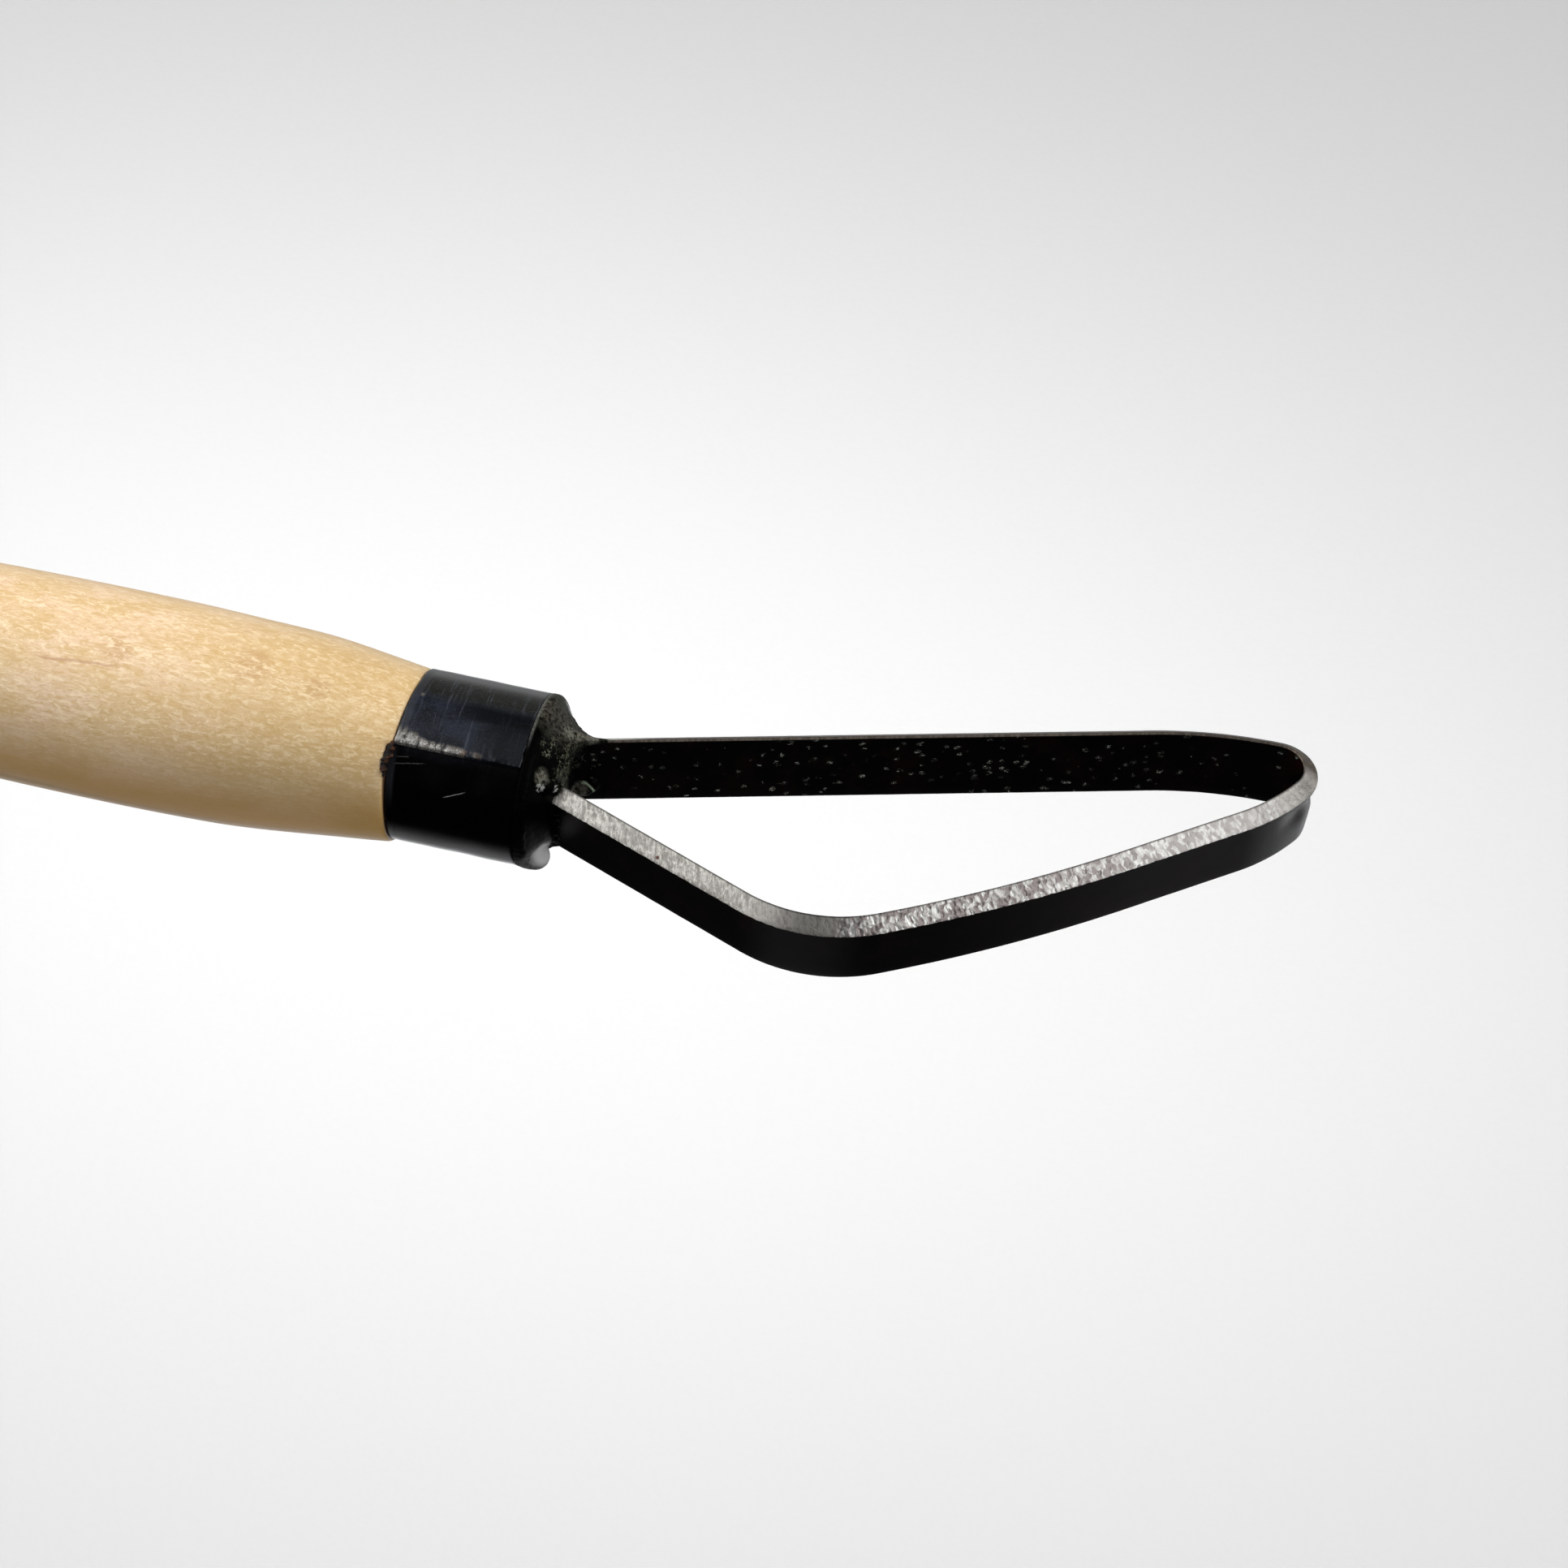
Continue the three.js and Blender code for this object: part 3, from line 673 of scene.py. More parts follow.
        # Painted glints: cells of near-white steel sparkle on the pitted bow.
        sparkle = hollow.step(0.42, 0.30) * tone.step(0.56, 0.59) + across.step(0.58, 0.62) * tone.step(0.40, 0.48)
        pitted = g.mix(sparkle * strong, pitted, self.painted_sparkle)
        steel = g.layers(
            steel,
            (on_bow, pitted),
            (cloud.step(0.48, 0.68) * 0.25, self.mauve),
            (down.step(0.15, 0.04) * 0.85, self.inner_rim),
        )
        dull = g.mix(across.step(0.50, 0.70), self.rust, self.worn_back)
        film = g.parts(at)[0].step(153.5, 149.5) * grit.step(0.34, 0.52)
        dull = g.mix(film, dull, self.dried_film)
        steel = g.mix(back, steel, dull)
        spread = g.cells(g.stretched(bent, (0.80, 0.0, 0.95)), 1.0)
        crowded = g.grain(strip, (0.10, 0.0, 0.35), 3.0, 0.6).step(0.40, 0.58)
        chip = g.curls(g.stretched(strip, (0.55, 0.0, 1.25)), 3.2, 0.045) * spread.step(0.28, 0.20)
        chip = (chip * crowded + spread.step(0.070, 0.050)) * grit.step(0.42, 0.50) * out.step(0.8, 0.2)
        tint = g.noise(at, 0.22, 3.0, 0.6).step(0.46, 0.62)
        black = g.mix(tint * grit.step(0.35, 0.7), self.black, self.brown)
        black = g.mix(chip * 0.85, black, self.chipped)
        crest = down.step(0.37, 0.24) * (0.50 + across.step(0.35, 0.65) * 0.50)
        black = g.mix(crest, black, self.wire_edge)
        burr = plane.step(0.09, 0.02) * down.step(0.05, 0.30) * grit.step(0.35, 0.65)
        black = g.mix(burr * 0.5, black, self.burr)
        rough_black = 0.34 + (grit - 0.5) * 0.25
        rough_steel = 0.40 + (across - 0.5) * 0.20
        coarse = g.bump(hollow * on_bow * strong * ground, 0.10)
        fine = g.bump((across + nicks * 1.5) * ground * (0.35 + on_leg * 0.40) + grit * 0.20, 0.040, coarse)
        return g.surface(
            {
                "Base Color": g.mix(ground, black, steel),
                "Metallic": ground * (1 - back),
                "Roughness": rough_black + (rough_steel - rough_black) * ground,
                "Normal": fine,
                "Specular IOR Level": 0.22,
            }
        )


@dataclass(frozen=True)
class PlainFinish:
    """A simple matt finish with a little variation, for the hidden tang and the dried glue."""

    name: str
    base: Colour
    other: Colour
    metallic: float
    roughness: float
    scale: float = 1.5
    depth: float = 0.03
    level: float = 0.5

    def material(self) -> Material:
        """Builds the finish."""
        g = ShaderGraph(self.name)
        at = g.millimetres()
        cloud = g.noise(at, self.scale, 4.0, 0.65, 0.4)
        grit = g.noise(at, self.scale * 5, 3.0, 0.6)
        return g.surface(
            {
                "Base Color": g.mix(cloud.step(self.level - 0.12, self.level + 0.12), self.base, self.other),
                "Metallic": self.metallic,
                "Roughness": self.roughness + (grit - 0.5) * 0.2,
                "Normal": g.bump(cloud + grit * 0.5, self.depth),
            }
        )


def mesh_object(name: str, points: Any, faces: Sequence[Sequence[int]], edges: Sequence = ()) -> Piece:
    """Makes a mesh object at the origin.

    Args:
        name: Its name.
        points: Its vertices, in millimetres.
        faces: Its faces.
        edges: Its loose edges.

    Returns:
        The object, linked to the scene.
    """
    mesh = bpy.data.meshes.new(name)
    mesh.from_pydata((np.asarray(points, float) * MM).tolist(), [tuple(e) for e in edges], [tuple(f) for f in faces])
    made = bpy.data.objects.new(name, mesh)
    bpy.context.scene.collection.objects.link(made)
    return made


def rings_object(name: str, rings: np.ndarray, ends: bool = True) -> Piece:
    """Makes a closed mesh over rings of equal point count.

    Args:
        name: Its name.
        rings: An array of rings, points and three parts, in millimetres.
        ends: Whether both ends are closed with a face.

    Returns:
        The object.
    """
    rows, count = rings.shape[:2]
    faces: list[Sequence[int]] = []
    for i in range(rows - 1):
        for j in range(count):
            a, b = i * count + j, i * count + (j + 1) % count
            faces.append((a, b, b + count, a + count))
    if ends:
        faces.append(tuple(reversed(range(count))))
        faces.append(tuple(range((rows - 1) * count, rows * count)))
    return mesh_object(name, rings.reshape(-1, 3), faces)


def paint(piece: Piece, name: str, values: np.ndarray) -> None:
    """Stores a number on each vertex."""
    layer = piece.data.attributes.new(name, "FLOAT", "POINT")
    layer.data.foreach_set("value", values.astype(np.float32).ravel())


def finish_piece(
    piece: Piece, material: Material, nodes: Sequence[str], sharp: float = 40.0
) -> Piece:
    """Shades, dresses and attaches a finished piece.

    Args:
        piece: The piece, with its place in its mesh.
        material: Its material.
        nodes: The CAD nodes that it stands for, if any.
        sharp: The angle in degrees past which an edge stays sharp.

    Returns:
        The piece.
    """
    mesh = piece.data
    mesh.materials.clear()
    mesh.materials.append(material)
    mesh.shade_smooth()
    mesh.set_sharp_from_angle(angle=math.radians(sharp))
    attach(piece, "root")
    if nodes:
        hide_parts(*nodes)
    LOG.info("%s: %d faces", piece.name, len(mesh.polygons))
    return piece


class GrownTree:
    """A Geometry Nodes tree with named inputs, run once on an object to give a plain mesh."""

    kinds = {float: "NodeSocketFloat", int: "NodeSocketInt"}

    def __init__(self, name: str, inputs: dict[str, Any]) -> None:
        """Makes the tree.

        Args:
            name: The tree's name.
            inputs: The values by input name. A value's type gives the type of its socket.
        """
        self.tree = bpy.data.node_groups.new(name, "GeometryNodeTree")
        self.values: dict[str, Any] = {}
        self.tree.interface.new_socket("Geometry", in_out="INPUT", socket_type="NodeSocketGeometry")
        for label, value in inputs.items():
            kind = self.kinds.get(type(value), "NodeSocketObject")
            socket = self.tree.interface.new_socket(label, in_out="INPUT", socket_type=kind)
            self.values[socket.identifier] = value
        self.tree.interface.new_socket("Geometry", in_out="OUTPUT", socket_type="NodeSocketGeometry")
        self.graph = Graph(self.tree)
        self.entry = self.graph.node("NodeGroupInput")

    def value(self, label: str) -> Field:
        """A named input as a field."""
        return Field(self.graph, self.entry.outputs[label])

    def socket(self, label: str) -> Socket:
        """A named input as a socket."""
        return self.entry.outputs[label]

    def finish(self, geometry: Socket, material: Material) -> None:
        """Ends the tree.

        Args:
            geometry: What it gives.
            material: The material of all of it.
        """
        g = self.graph
        real = g.node("GeometryNodeRealizeInstances", None, {"Geometry": geometry})
        dressed = g.node("GeometryNodeSetMaterial", None, {"Geometry": real.outputs[0], "Material": material})
        g.node("NodeGroupOutput", None, {0: dressed.outputs[0]})

    def bake(self, name: str, start: Piece) -> Piece:
        """Runs the tree.

        Args:
            name: The new piece's name.
            start: The object that the tree starts from. It is removed.

        Returns:
            A plain mesh object.
        """
        modifier = start.modifiers.new("grow", "NODES")
        modifier.node_group = self.tree
        for identifier, value in self.values.items():
            modifier[identifier] = value
        start.update_tag()
        graph = bpy.context.evaluated_depsgraph_get()
        graph.update()
        mesh = bpy.data.meshes.new_from_object(start.evaluated_get(graph))
        start.modifiers.remove(modifier)
        bpy.data.objects.remove(start)
        mesh.name = name
        made = bpy.data.objects.new(name, mesh)
        bpy.context.scene.collection.objects.link(made)
        return made


@dataclass(frozen=True)
class RearEdge:
    """The crooked rear edge of the rolled sheet, against which the wood's shoulder stands."""

    seam_angle: float = 124.0
    turns: tuple[float, ...] = (0.0, 52.0, 110.0, 200.0, 284.0, 306.0, 323.0, 342.0, 356.0)
    places: tuple[float, ...] = (130.20, 130.72, 130.62, 130.40, 130.20, 130.20, 130.05, 129.82, 129.74)

    def at_turn(self, turn: float) -> float:
        """The edge's place, by degrees along the strip from its outer end."""
        return float(np.interp(turn, self.turns, self.places))

    def at_angle(self, angle: float) -> float:
        """The edge's place, by the angle round the axis in degrees."""
        return self.at_turn((self.seam_angle - angle) % 360)


@dataclass
class TurnedHandle:
    """The wooden handle, from its butt to the tenon, with the hole for the tang."""

    length: float = 130.0
    shoulder_radius: float = 8.8
    belly_radius: float = 10.5
    belly_setback: float = 31.0
    front_fullness: float = 2.5
    tail_radius: float = 7.4
    butt_rounding: float = 7.0
    butt_flat_radius: float = 3.6
    shoulder_round: float = 0.35
    sanded: float = 0.40
    sway: float = 0.45
    tenon_radius: float = 6.5
    tenon_length: float = 9.0
    tenon_chamfer: float = 0.6
    joint_width: float = 0.11
    shoulder_gap: float = 0.03
    unevenness: float = 0.03
    hole_depth: float = 26.6
    hole_mouth: float = 2.45
    hole_end: float = 1.2
    sides: int = 192
    edge: RearEdge = RearEdge()

    def radius(self, x: float) -> float:
        """The handle's radius.

        Args:
            x: The place along the handle, ahead of the rounded butt.

        Returns:
            The radius there.
        """
        belly_x = self.length - self.belly_setback
        if x > belly_x:
            share = (x - belly_x) / self.belly_setback
            return self.belly_radius - (self.belly_radius - self.shoulder_radius) * share**self.front_fullness
        drop = smooth((belly_x - x) / (belly_x - self.butt_rounding), 0, 1)
        return self.belly_radius - (self.belly_radius - self.tail_radius) * drop

    def outline(self) -> Section:
        """The outer profile as (x, radius), from the butt to the end of the tenon."""
        places: Section = [(0.0, 0.4), (0.0, self.butt_flat_radius - 0.25)]
        for sine, cosine in quarter(12):
            radius = self.butt_flat_radius + (self.tail_radius - self.butt_flat_radius) * sine
            places.append((self.butt_rounding * (1 - cosine), radius))
        steps = 150
        front = self.length - self.shoulder_round
        for i in range(1, steps + 1):
            x = self.butt_rounding + (front - self.butt_rounding) * i / steps
            places.append((x, self.radius(x)))
        for sine, cosine in quarter(5)[1:]:
            across = self.radius(self.length) - self.shoulder_round * (1 - cosine)
            places.append((front + self.shoulder_round * sine, across))
        end = self.length + self.tenon_length
        nose = self.tenon_radius - self.tenon_chamfer
        places += [(self.length, self.tenon_radius), (end - self.tenon_chamfer, self.tenon_radius), (end, nose)]
        return places

    def ring(self, x: float, radius: float) -> list[Spot]:
        """A round ring, a little uneven and aside of the axis. The shoulder follows the sheet's edge.

        Args:
            x: Its place.
            radius: Its radius.

        Returns:
            Its points.
        """
        points = []
        follow = smooth(x, self.length - 6.0, self.length) * (x <= self.length)
        aside = self.sway * smooth(x, self.length - 4.0, self.length - 18.0) * smooth(x, 8.0, 60.0)
        for j in range(self.sides):
            angle = j / self.sides * 2 * math.pi
            c, s = math.cos(angle), math.sin(angle)
            uneven = (self.unevenness * noise.noise(Vector((x * 0.06, c * 1.6, s * 1.6))) - 0.008) * smooth(x, 2, 12)
            uneven -= self.sanded * smooth(x, self.length - 12.0, self.length) * max(0.0, 0.78 * c + 0.62 * s)
            shift = (self.edge.at_angle(math.degrees(angle)) - self.shoulder_gap - self.length) * follow
            points.append((x + shift, (radius + uneven) * c - aside, (radius + uneven) * s))
        return points

    def square(self, x: float, half: float) -> list[Spot]:
        """A square ring with as many points as a round one.

        Args:
            x: Its place.
            half: Half its width.

        Returns:
            Its points.
        """
        points = []
        for j in range(self.sides):
            angle = j / self.sides * 2 * math.pi
            c, s = math.cos(angle), math.sin(angle)
            reach = half / max(abs(c), abs(s))
            points.append((x, reach * c, reach * s))
        return points

    def build(self) -> Piece:
        """Builds and dresses the handle."""
        end = self.length + self.tenon_length
        rings = [self.ring(x, radius) for x, radius in self.outline()]
        rings.append(self.square(end, self.hole_mouth))
        rings.append(self.square(end - self.hole_depth, self.hole_end))
        piece = rings_object("handle_wood", np.array(rings))
        joint = [[1 - smooth(self.length - x, 0.0, self.joint_width)] * self.sides for x, _ in self.outline()]
        joint += [[0.0] * self.sides] * 2
        paint(piece, "joint", np.array(joint))
        return finish_piece(piece, WoodFinish().material(), ["handle"])


@dataclass
class RolledFerrule:
    """The sheet rolled round the tenon, its ends lapped and its cut edge left rough."""

    edge: RearEdge = RearEdge()
    front: float = 142.8
    radius: float = 8.5
    sheet: float = 0.8
    layer_gap: float = 0.08
    lap_angle: float = 20.0
    joggle_angle: float = 46.0
    ridge: float = 0.20
    edge_round: float = 0.13
    swage: float = 0.02
    dents: float = 0.035
    drop_height: float = 0.07
    drop_place: tuple[float, float] = (131.6, 85.7)
    sides: int = 250
    steps: int = 96

    def outside(self, turn: float) -> float:
        """The strip's outer radius."""
        dip = smooth(turn, 357.5 - self.joggle_angle, 357.5)
        return self.radius - (self.sheet + self.layer_gap) * dip

    def roughness(self, turn: float, x: float) -> tuple[float, float]:
        """The rough ridge along the cut edge.

        Args:
            turn: Degrees along the strip from its outer end.
            x: The place along the ferrule.

        Returns:
            How far it stands out, in millimetres, and how worn it is, from 0 to 1.
        """
        fade = smooth(x, self.front - 2.5, self.edge.places[0] + 4.0)
        lumps = 0.5 + noise.fractal(Vector((x * 1.7, turn * 0.10, 3.1)), 0.7, 2.1, 4)
        body = math.exp(-(((turn - 3.6) / 3.0) ** 2))
        rounding = -0.22 * (1 - smooth(turn, 0.0, 1.6))
        stand = self.ridge * body * (0.25 + 0.75 * fade) * max(0.0, 0.25 + lumps) + rounding
        broad = smooth(x, self.edge.places[0] + 3.4, self.edge.places[0] + 0.8)
        worn = math.exp(-(((turn - 3.0 - 2.0 * broad) / (3.0 + 3.2 * broad)) ** 2))
        worn *= (0.12 + 0.88 * fade) * min(1.0, max(0.0, 0.35 + lumps))
        return stand, worn

    def build(self) -> Piece:
        """Builds and dresses the ferrule."""
        near = np.linspace(0.0, 12.0, 40)
        turns = np.concatenate([near, np.linspace(12.4, 360.0 + self.lap_angle, self.sides)])
        drop = Vector((*self.drop_place, 0.0))
        rings, wear, rim = [], [], []
        for i in range(self.steps + 1):
            share = i / self.steps
            outer, inner, worn_row, rim_row = [], [], [], []
            for turn in turns:
                rear = self.edge.at_turn(turn)
                x = rear + (self.front - rear) * share
                stand, worn = self.roughness(turn, x)
                behind, ahead = x - rear, self.front - x
                uneven = 1 + 0.9 * noise.noise(Vector((turn * 0.22, share * 2.0, 5.0)))
                edge = self.edge_round * uneven * (1 - smooth(min(behind, ahead), 0.0, 0.14))
                swage = self.swage * (1 - smooth(behind, 0.70, 0.95)) if turn < 330 else 0.0
                angle = math.radians(self.edge.seam_angle - turn)
                off = math.hypot(x - drop.x, (angle - math.radians(drop.y)) * self.radius)
                bead = self.drop_height * math.exp(-((off / 0.28) ** 2))
                dent = self.dents * noise.noise(Vector((x * 0.35, math.cos(angle) * 2.6, math.sin(angle) * 2.6)))
                out = self.outside(turn) + stand + bead + dent - edge - swage
                inside = self.outside(turn) - self.sheet + edge * 0.6
                outer.append((x, out * math.cos(angle), out * math.sin(angle)))
                inner.append((x, inside * math.cos(angle), inside * math.sin(angle)))
                spot = math.exp(-((off / 0.25) ** 2))
                worn_row.append(max(worn, 0.45 * spot, 0.30 * (1 - smooth(behind, 0.0, 0.16))))
                rim_row.append(1 - smooth(behind, 0.70, 0.95))
            rings.append(outer + inner[::-1])
            wear.append(worn_row + [0.0] * len(inner))
            rim.append(rim_row + [0.0] * len(inner))
        piece = rings_object("ferrule_sheet", np.array(rings)[:, ::-1])
        paint(piece, "wear", np.array(wear)[:, ::-1])
        paint(piece, "rim", np.array(rim)[:, ::-1])
        return finish_piece(piece, SheetFinish().material(), ["ferrule"], 50.0)


@dataclass(frozen=True)
class Root:
    """Where a leg of the ribbon stands on the cap: its inner crest's offset and heading."""

    name: str
    node: str
    offset: float
    heading: float
    top_weld: float
    lumps: tuple[Patch, ...]


@dataclass
class RibbonLoop:
    """The bent strip: straights and arcs in turn, in one plane, swept with its bevelled section."""

    base: float = 146.3
    strip: StripSize = StripSize()
    near_leg: float = 21.7
    bends: tuple[tuple[float, float], ...] = ((15.2, 49.4), (156.0, 9.3))
    tip_bends: tuple[tuple[float, float], ...] = ((19.0, 20.5), (2.75, 122.1), (44.4, 16.2))
    step: float = 0.4
    sunk: float = 1.0
    polish: float = 0.006
    edge_break: float = 0.22
    hand_wobble: float = 0.028
    steeper_behind: float = 0.17
    tip_hollow: float = 0.42

    def path(self, straight: float) -> list[Spot]:
        """The line of the inner crest.

        Args:
            straight: The length of the straight before the tip.

        Returns:
            Stations of x, y and heading in radians.
        """
        line = [(self.base, self.strip.near_offset, math.radians(self.strip.near_heading))]

        def run(length: float) -> None:
            """A straight."""
            count = max(1, round(abs(length) / self.step))
            for _ in range(count):
                x, y, heading = line[-1]
                line.append((x + length / count * math.cos(heading), y + length / count * math.sin(heading), heading))

        def bend(radius: float, degrees: float) -> None:
            """An arc to the left."""
            turn = math.radians(degrees)
            count = max(3, round(turn * radius / self.step), round(degrees / 5))
            for _ in range(count):
                x, y, heading = line[-1]
                chord, middle = 2 * radius * math.sin(turn / count / 2), heading + turn / count / 2
                line.append((x + chord * math.cos(middle), y + chord * math.sin(middle), heading + turn / count))

        run(self.near_leg)
        for radius, degrees in self.bends:
            bend(radius, degrees)
        self.straight_heading = line[-1][2]
        run(straight)
        for radius, degrees in self.tip_bends:
            bend(radius, degrees)
        x, _, heading = line[-1]
        run((self.base - x) / math.cos(heading))
        return line

    def closed_path(self) -> list[Spot]:
        """The line whose far leg comes home to its own offset, sunk a little into the cap at both ends."""
        _, y, heading = self.path(1.0)[-1]
        rise = math.sin(self.straight_heading) - math.cos(self.straight_heading) * math.tan(heading)
        line = self.path(1.0 + (self.strip.far_offset - y) / rise)
        for place, sign in ((0, -1), (-1, 1)):
            x, y, heading = line[place]
            far = (x + sign * self.sunk * math.cos(heading), y + sign * self.sunk * math.sin(heading), heading)
            line.insert(0 if place == 0 else len(line), far)
        return line

    def landmarks(self, line: Sequence[Spot]) -> tuple[float, float, float]:
        """Where the parts of the strip begin.

        Args:
            line: Its stations.

        Returns:
            The lengths along it at which the long bow, the tip and the far leg begin.
        """
        tip_turns = [turn for _, turn in self.tip_bends]
        before_tip = sum(turn for _, turn in self.bends) + tip_turns[0] * 0.6
        turns = (self.bends[0][1] - 4.0, before_tip, before_tip + tip_turns[0] * 0.4 + tip_turns[1])
        aims = [math.radians(self.strip.near_heading + turn) for turn in turns]
        lengths, run = [], 0.0
        for (x0, y0, _), (x1, y1, heading) in zip(line, line[1:]):
            run += math.hypot(x1 - x0, y1 - y0)
            if len(lengths) < len(aims) and heading >= aims[len(lengths)] - 0.001:
                lengths.append(run)
        return lengths[0], lengths[1], lengths[2]

    def section(self) -> Section:
        """The strip's section as (outwards, downwards) from the inner crest, going round."""
        t, w, drop = self.strip.thickness - self.polish, self.strip.width, self.strip.bevel_drop
        foot = t - self.strip.flare * drop
        places: Section = [(0.0, 0.0)]
        places += [(foot * s, drop * s) for s in (0.03, 0.25, 0.5, 0.75, 0.97)]
        places += [(foot, drop + 0.02), (foot - 0.003, drop + 0.07)]
        places += [(t - self.strip.flare * w * s, w * s) for s in (0.22, 0.3, 0.38, 0.45, 0.52, 0.6, 0.75, 0.9)]
        low, soft = -self.strip.flare * w, self.edge_break
        places += [(t + low - soft * (1 - cosine), w - soft * (1 - sine)) for sine, cosine in quarter(4)]
        places += [(low + soft * (1 - sine), w - soft * (1 - cosine)) for sine, cosine in quarter(4)]
        places += [(-self.strip.flare * w * s, w * s) for s in (0.85, 0.7, 0.55, 0.4, 0.25, 0.12, 0.03)]
        return places

    @staticmethod
    def capture(g: Graph, kind: str, geometry: Socket, value: Socket) -> bpy.types.Node:
        """Keeps a value on a geometry before it changes.

        Args:
            g: The tree's graph.
            kind: The value's type.
            geometry: The geometry.
            value: The value.

        Returns:
            The node, whose output named kept holds the value.
        """
        node = g.node("GeometryNodeCaptureAttribute")
        node.capture_items.new(kind, "kept")
        g.plug(node.inputs["Geometry"], geometry)
        g.plug(node.inputs["kept"], value)
        return node

    def shift(
        self, tree: GrownTree, line: Sequence[Spot], marks: Sequence[float], place: Socket, strip: Sequence[Field]
    ) -> Socket:
        """How a point of the strip moves: hand wobble, the lower bevel behind the tip and the tip's hollow.

        Args:
            tree: The tree, whose inputs hold the amounts.
            line: The strip's stations.
            marks: The lengths at which the bow, the tip and the far leg begin.
            place: The point's place.
            strip: Its place along, outwards and downwards, in millimetres.

        Returns:
            The offset.
        """
        g, drop = tree.graph, self.strip.bevel_drop
        along, out, down = strip
        _, tip, leg = marks
        here = g.vector("SCALE", place, 1 / MM)
        wobble = g.node("ShaderNodeTexNoise", None, {"Vector": here, "Scale": 0.55, "Detail": 3.0})
        uneven = g.vector("SUBTRACT", wobble.outputs["Color"], (0.5, 0.5, 0.5))
        offset = g.vector("SCALE", uneven, tree.value("Hand wobble"))
        steeper = along.step(tip, leg) * (down / drop).least(1.0) * down.step(drop + 0.6, drop + 0.2)
        lowered = g.node("ShaderNodeCombineXYZ", None, {2: steeper * tree.value("Steeper behind") * -1.0})
        offset = g.vector("ADD", offset, lowered.outputs[0])
        apex_x, apex_y, _ = max(line)
        middle = [(apex_x - self.tip_bends[1][0]) * MM, apex_y * MM, 0.0]
        level = g.vector("MULTIPLY", g.vector("SUBTRACT", middle, place), (1.0, 1.0, 0.0))
        at_tip = along.step(tip - 1.0, tip + 2.0) * along.step(leg + 1.0, leg - 2.0)
        below = down.step(drop + 0.15, drop + 1.0) * down.step(5.4, 3.0)
        hollow = at_tip * out.step(0.4, 0.9) * below
        inwards = g.vector("SCALE", g.vector("NORMALIZE", level), hollow * tree.value("Hollow at the tip"))
        return g.vector("ADD", offset, inwards)

    def build(self) -> Piece:
        """Sweeps the section along the line and dresses the strip."""
        line = self.closed_path()
        top = self.strip.width / 2
        start = mesh_object("line", [(x, y, top) for x, y, _ in line], [], [(i, i + 1) for i in range(len(line) - 1)])
        places = self.section()
        closed = [(i, (i + 1) % len(places)) for i in range(len(places))]
        profile = mesh_object("section", [(out, down, 0.0) for out, down in places], [], closed)
        marks = self.landmarks(line)
        material = RibbonFinish(self.strip, *marks).material()
        tree = GrownTree(
            "swept_strip",
            {
                "Section": profile,
                "Hand wobble": self.hand_wobble * MM,
                "Steeper behind": self.steeper_behind * MM,
                "Hollow at the tip": self.tip_hollow * MM,
            },
        )
        g = tree.graph
        spine = g.node("GeometryNodeMeshToCurve", None, {"Mesh": tree.socket("Geometry")})
        upright = g.node("GeometryNodeSetCurveNormal", {"mode": "Z_UP"}, {"Curve": spine.outputs[0]})
        length = g.node("GeometryNodeSplineParameter").outputs["Length"]
        kept = self.capture(g, "FLOAT", upright.outputs[0], length)
        seen = g.node("GeometryNodeObjectInfo", None, {"Object": tree.socket("Section")})
        edge = g.node("GeometryNodeMeshToCurve", None, {"Mesh": seen.outputs["Geometry"]})
        place = g.node("GeometryNodeInputPosition").outputs[0]
        held = self.capture(g, "VECTOR", edge.outputs[0], place)
        swept = g.node(
            "GeometryNodeCurveToMesh",
            None,
            {"Curve": kept.outputs["Geometry"], "Profile Curve": held.outputs["Geometry"], "Fill Caps": True},
        )
        out, down, _ = (part / MM for part in g.parts(held.outputs["kept"]))
        along = Field(g, kept.outputs["kept"]) / MM
        strip = g.node("ShaderNodeCombineXYZ", None, {0: along, 1: out, 2: down})
        named = g.node(
            "GeometryNodeStoreNamedAttribute",
            {"data_type": "FLOAT_VECTOR", "domain": "POINT"},
            {"Geometry": swept.outputs[0], "Name": "strip", "Value": strip.outputs[0]},
        )
        offset = self.shift(tree, line, marks, place, (along, out, down))
        moved = g.node("GeometryNodeSetPosition", None, {"Geometry": named.outputs[0], "Offset": offset})
        tree.finish(moved.outputs[0], material)
        piece = tree.bake("ribbon_strip", start)
        bpy.data.objects.remove(profile)
        return finish_piece(piece, material, ["ribbon_loop"], 28.0)


def place_in_volume(g: Graph) -> tuple[Field, Field, Field, Field, Socket]:
    """The place in a volume.

    Args:
        g: The tree's graph.

    Returns:
        x ahead of the cap's base, y, z and the radius in millimetres, and the place as a vector.
    """
    here = g.vector("SCALE", g.node("GeometryNodeInputPosition").outputs[0], 1 / MM)
    x, y, z = g.parts(here)
    return x - CAP_BASE, y, z, (y * y + z * z).root(), here


def ball_distance(x: Field, y: Field, z: Field, ball: Patch) -> Field:
    """The distance outside a ball, given by its centre and radius."""
    return ((x - ball[0]) ** 2.0 + (y - ball[1]) ** 2.0 + (z - ball[2]) ** 2.0).root() - ball[3]


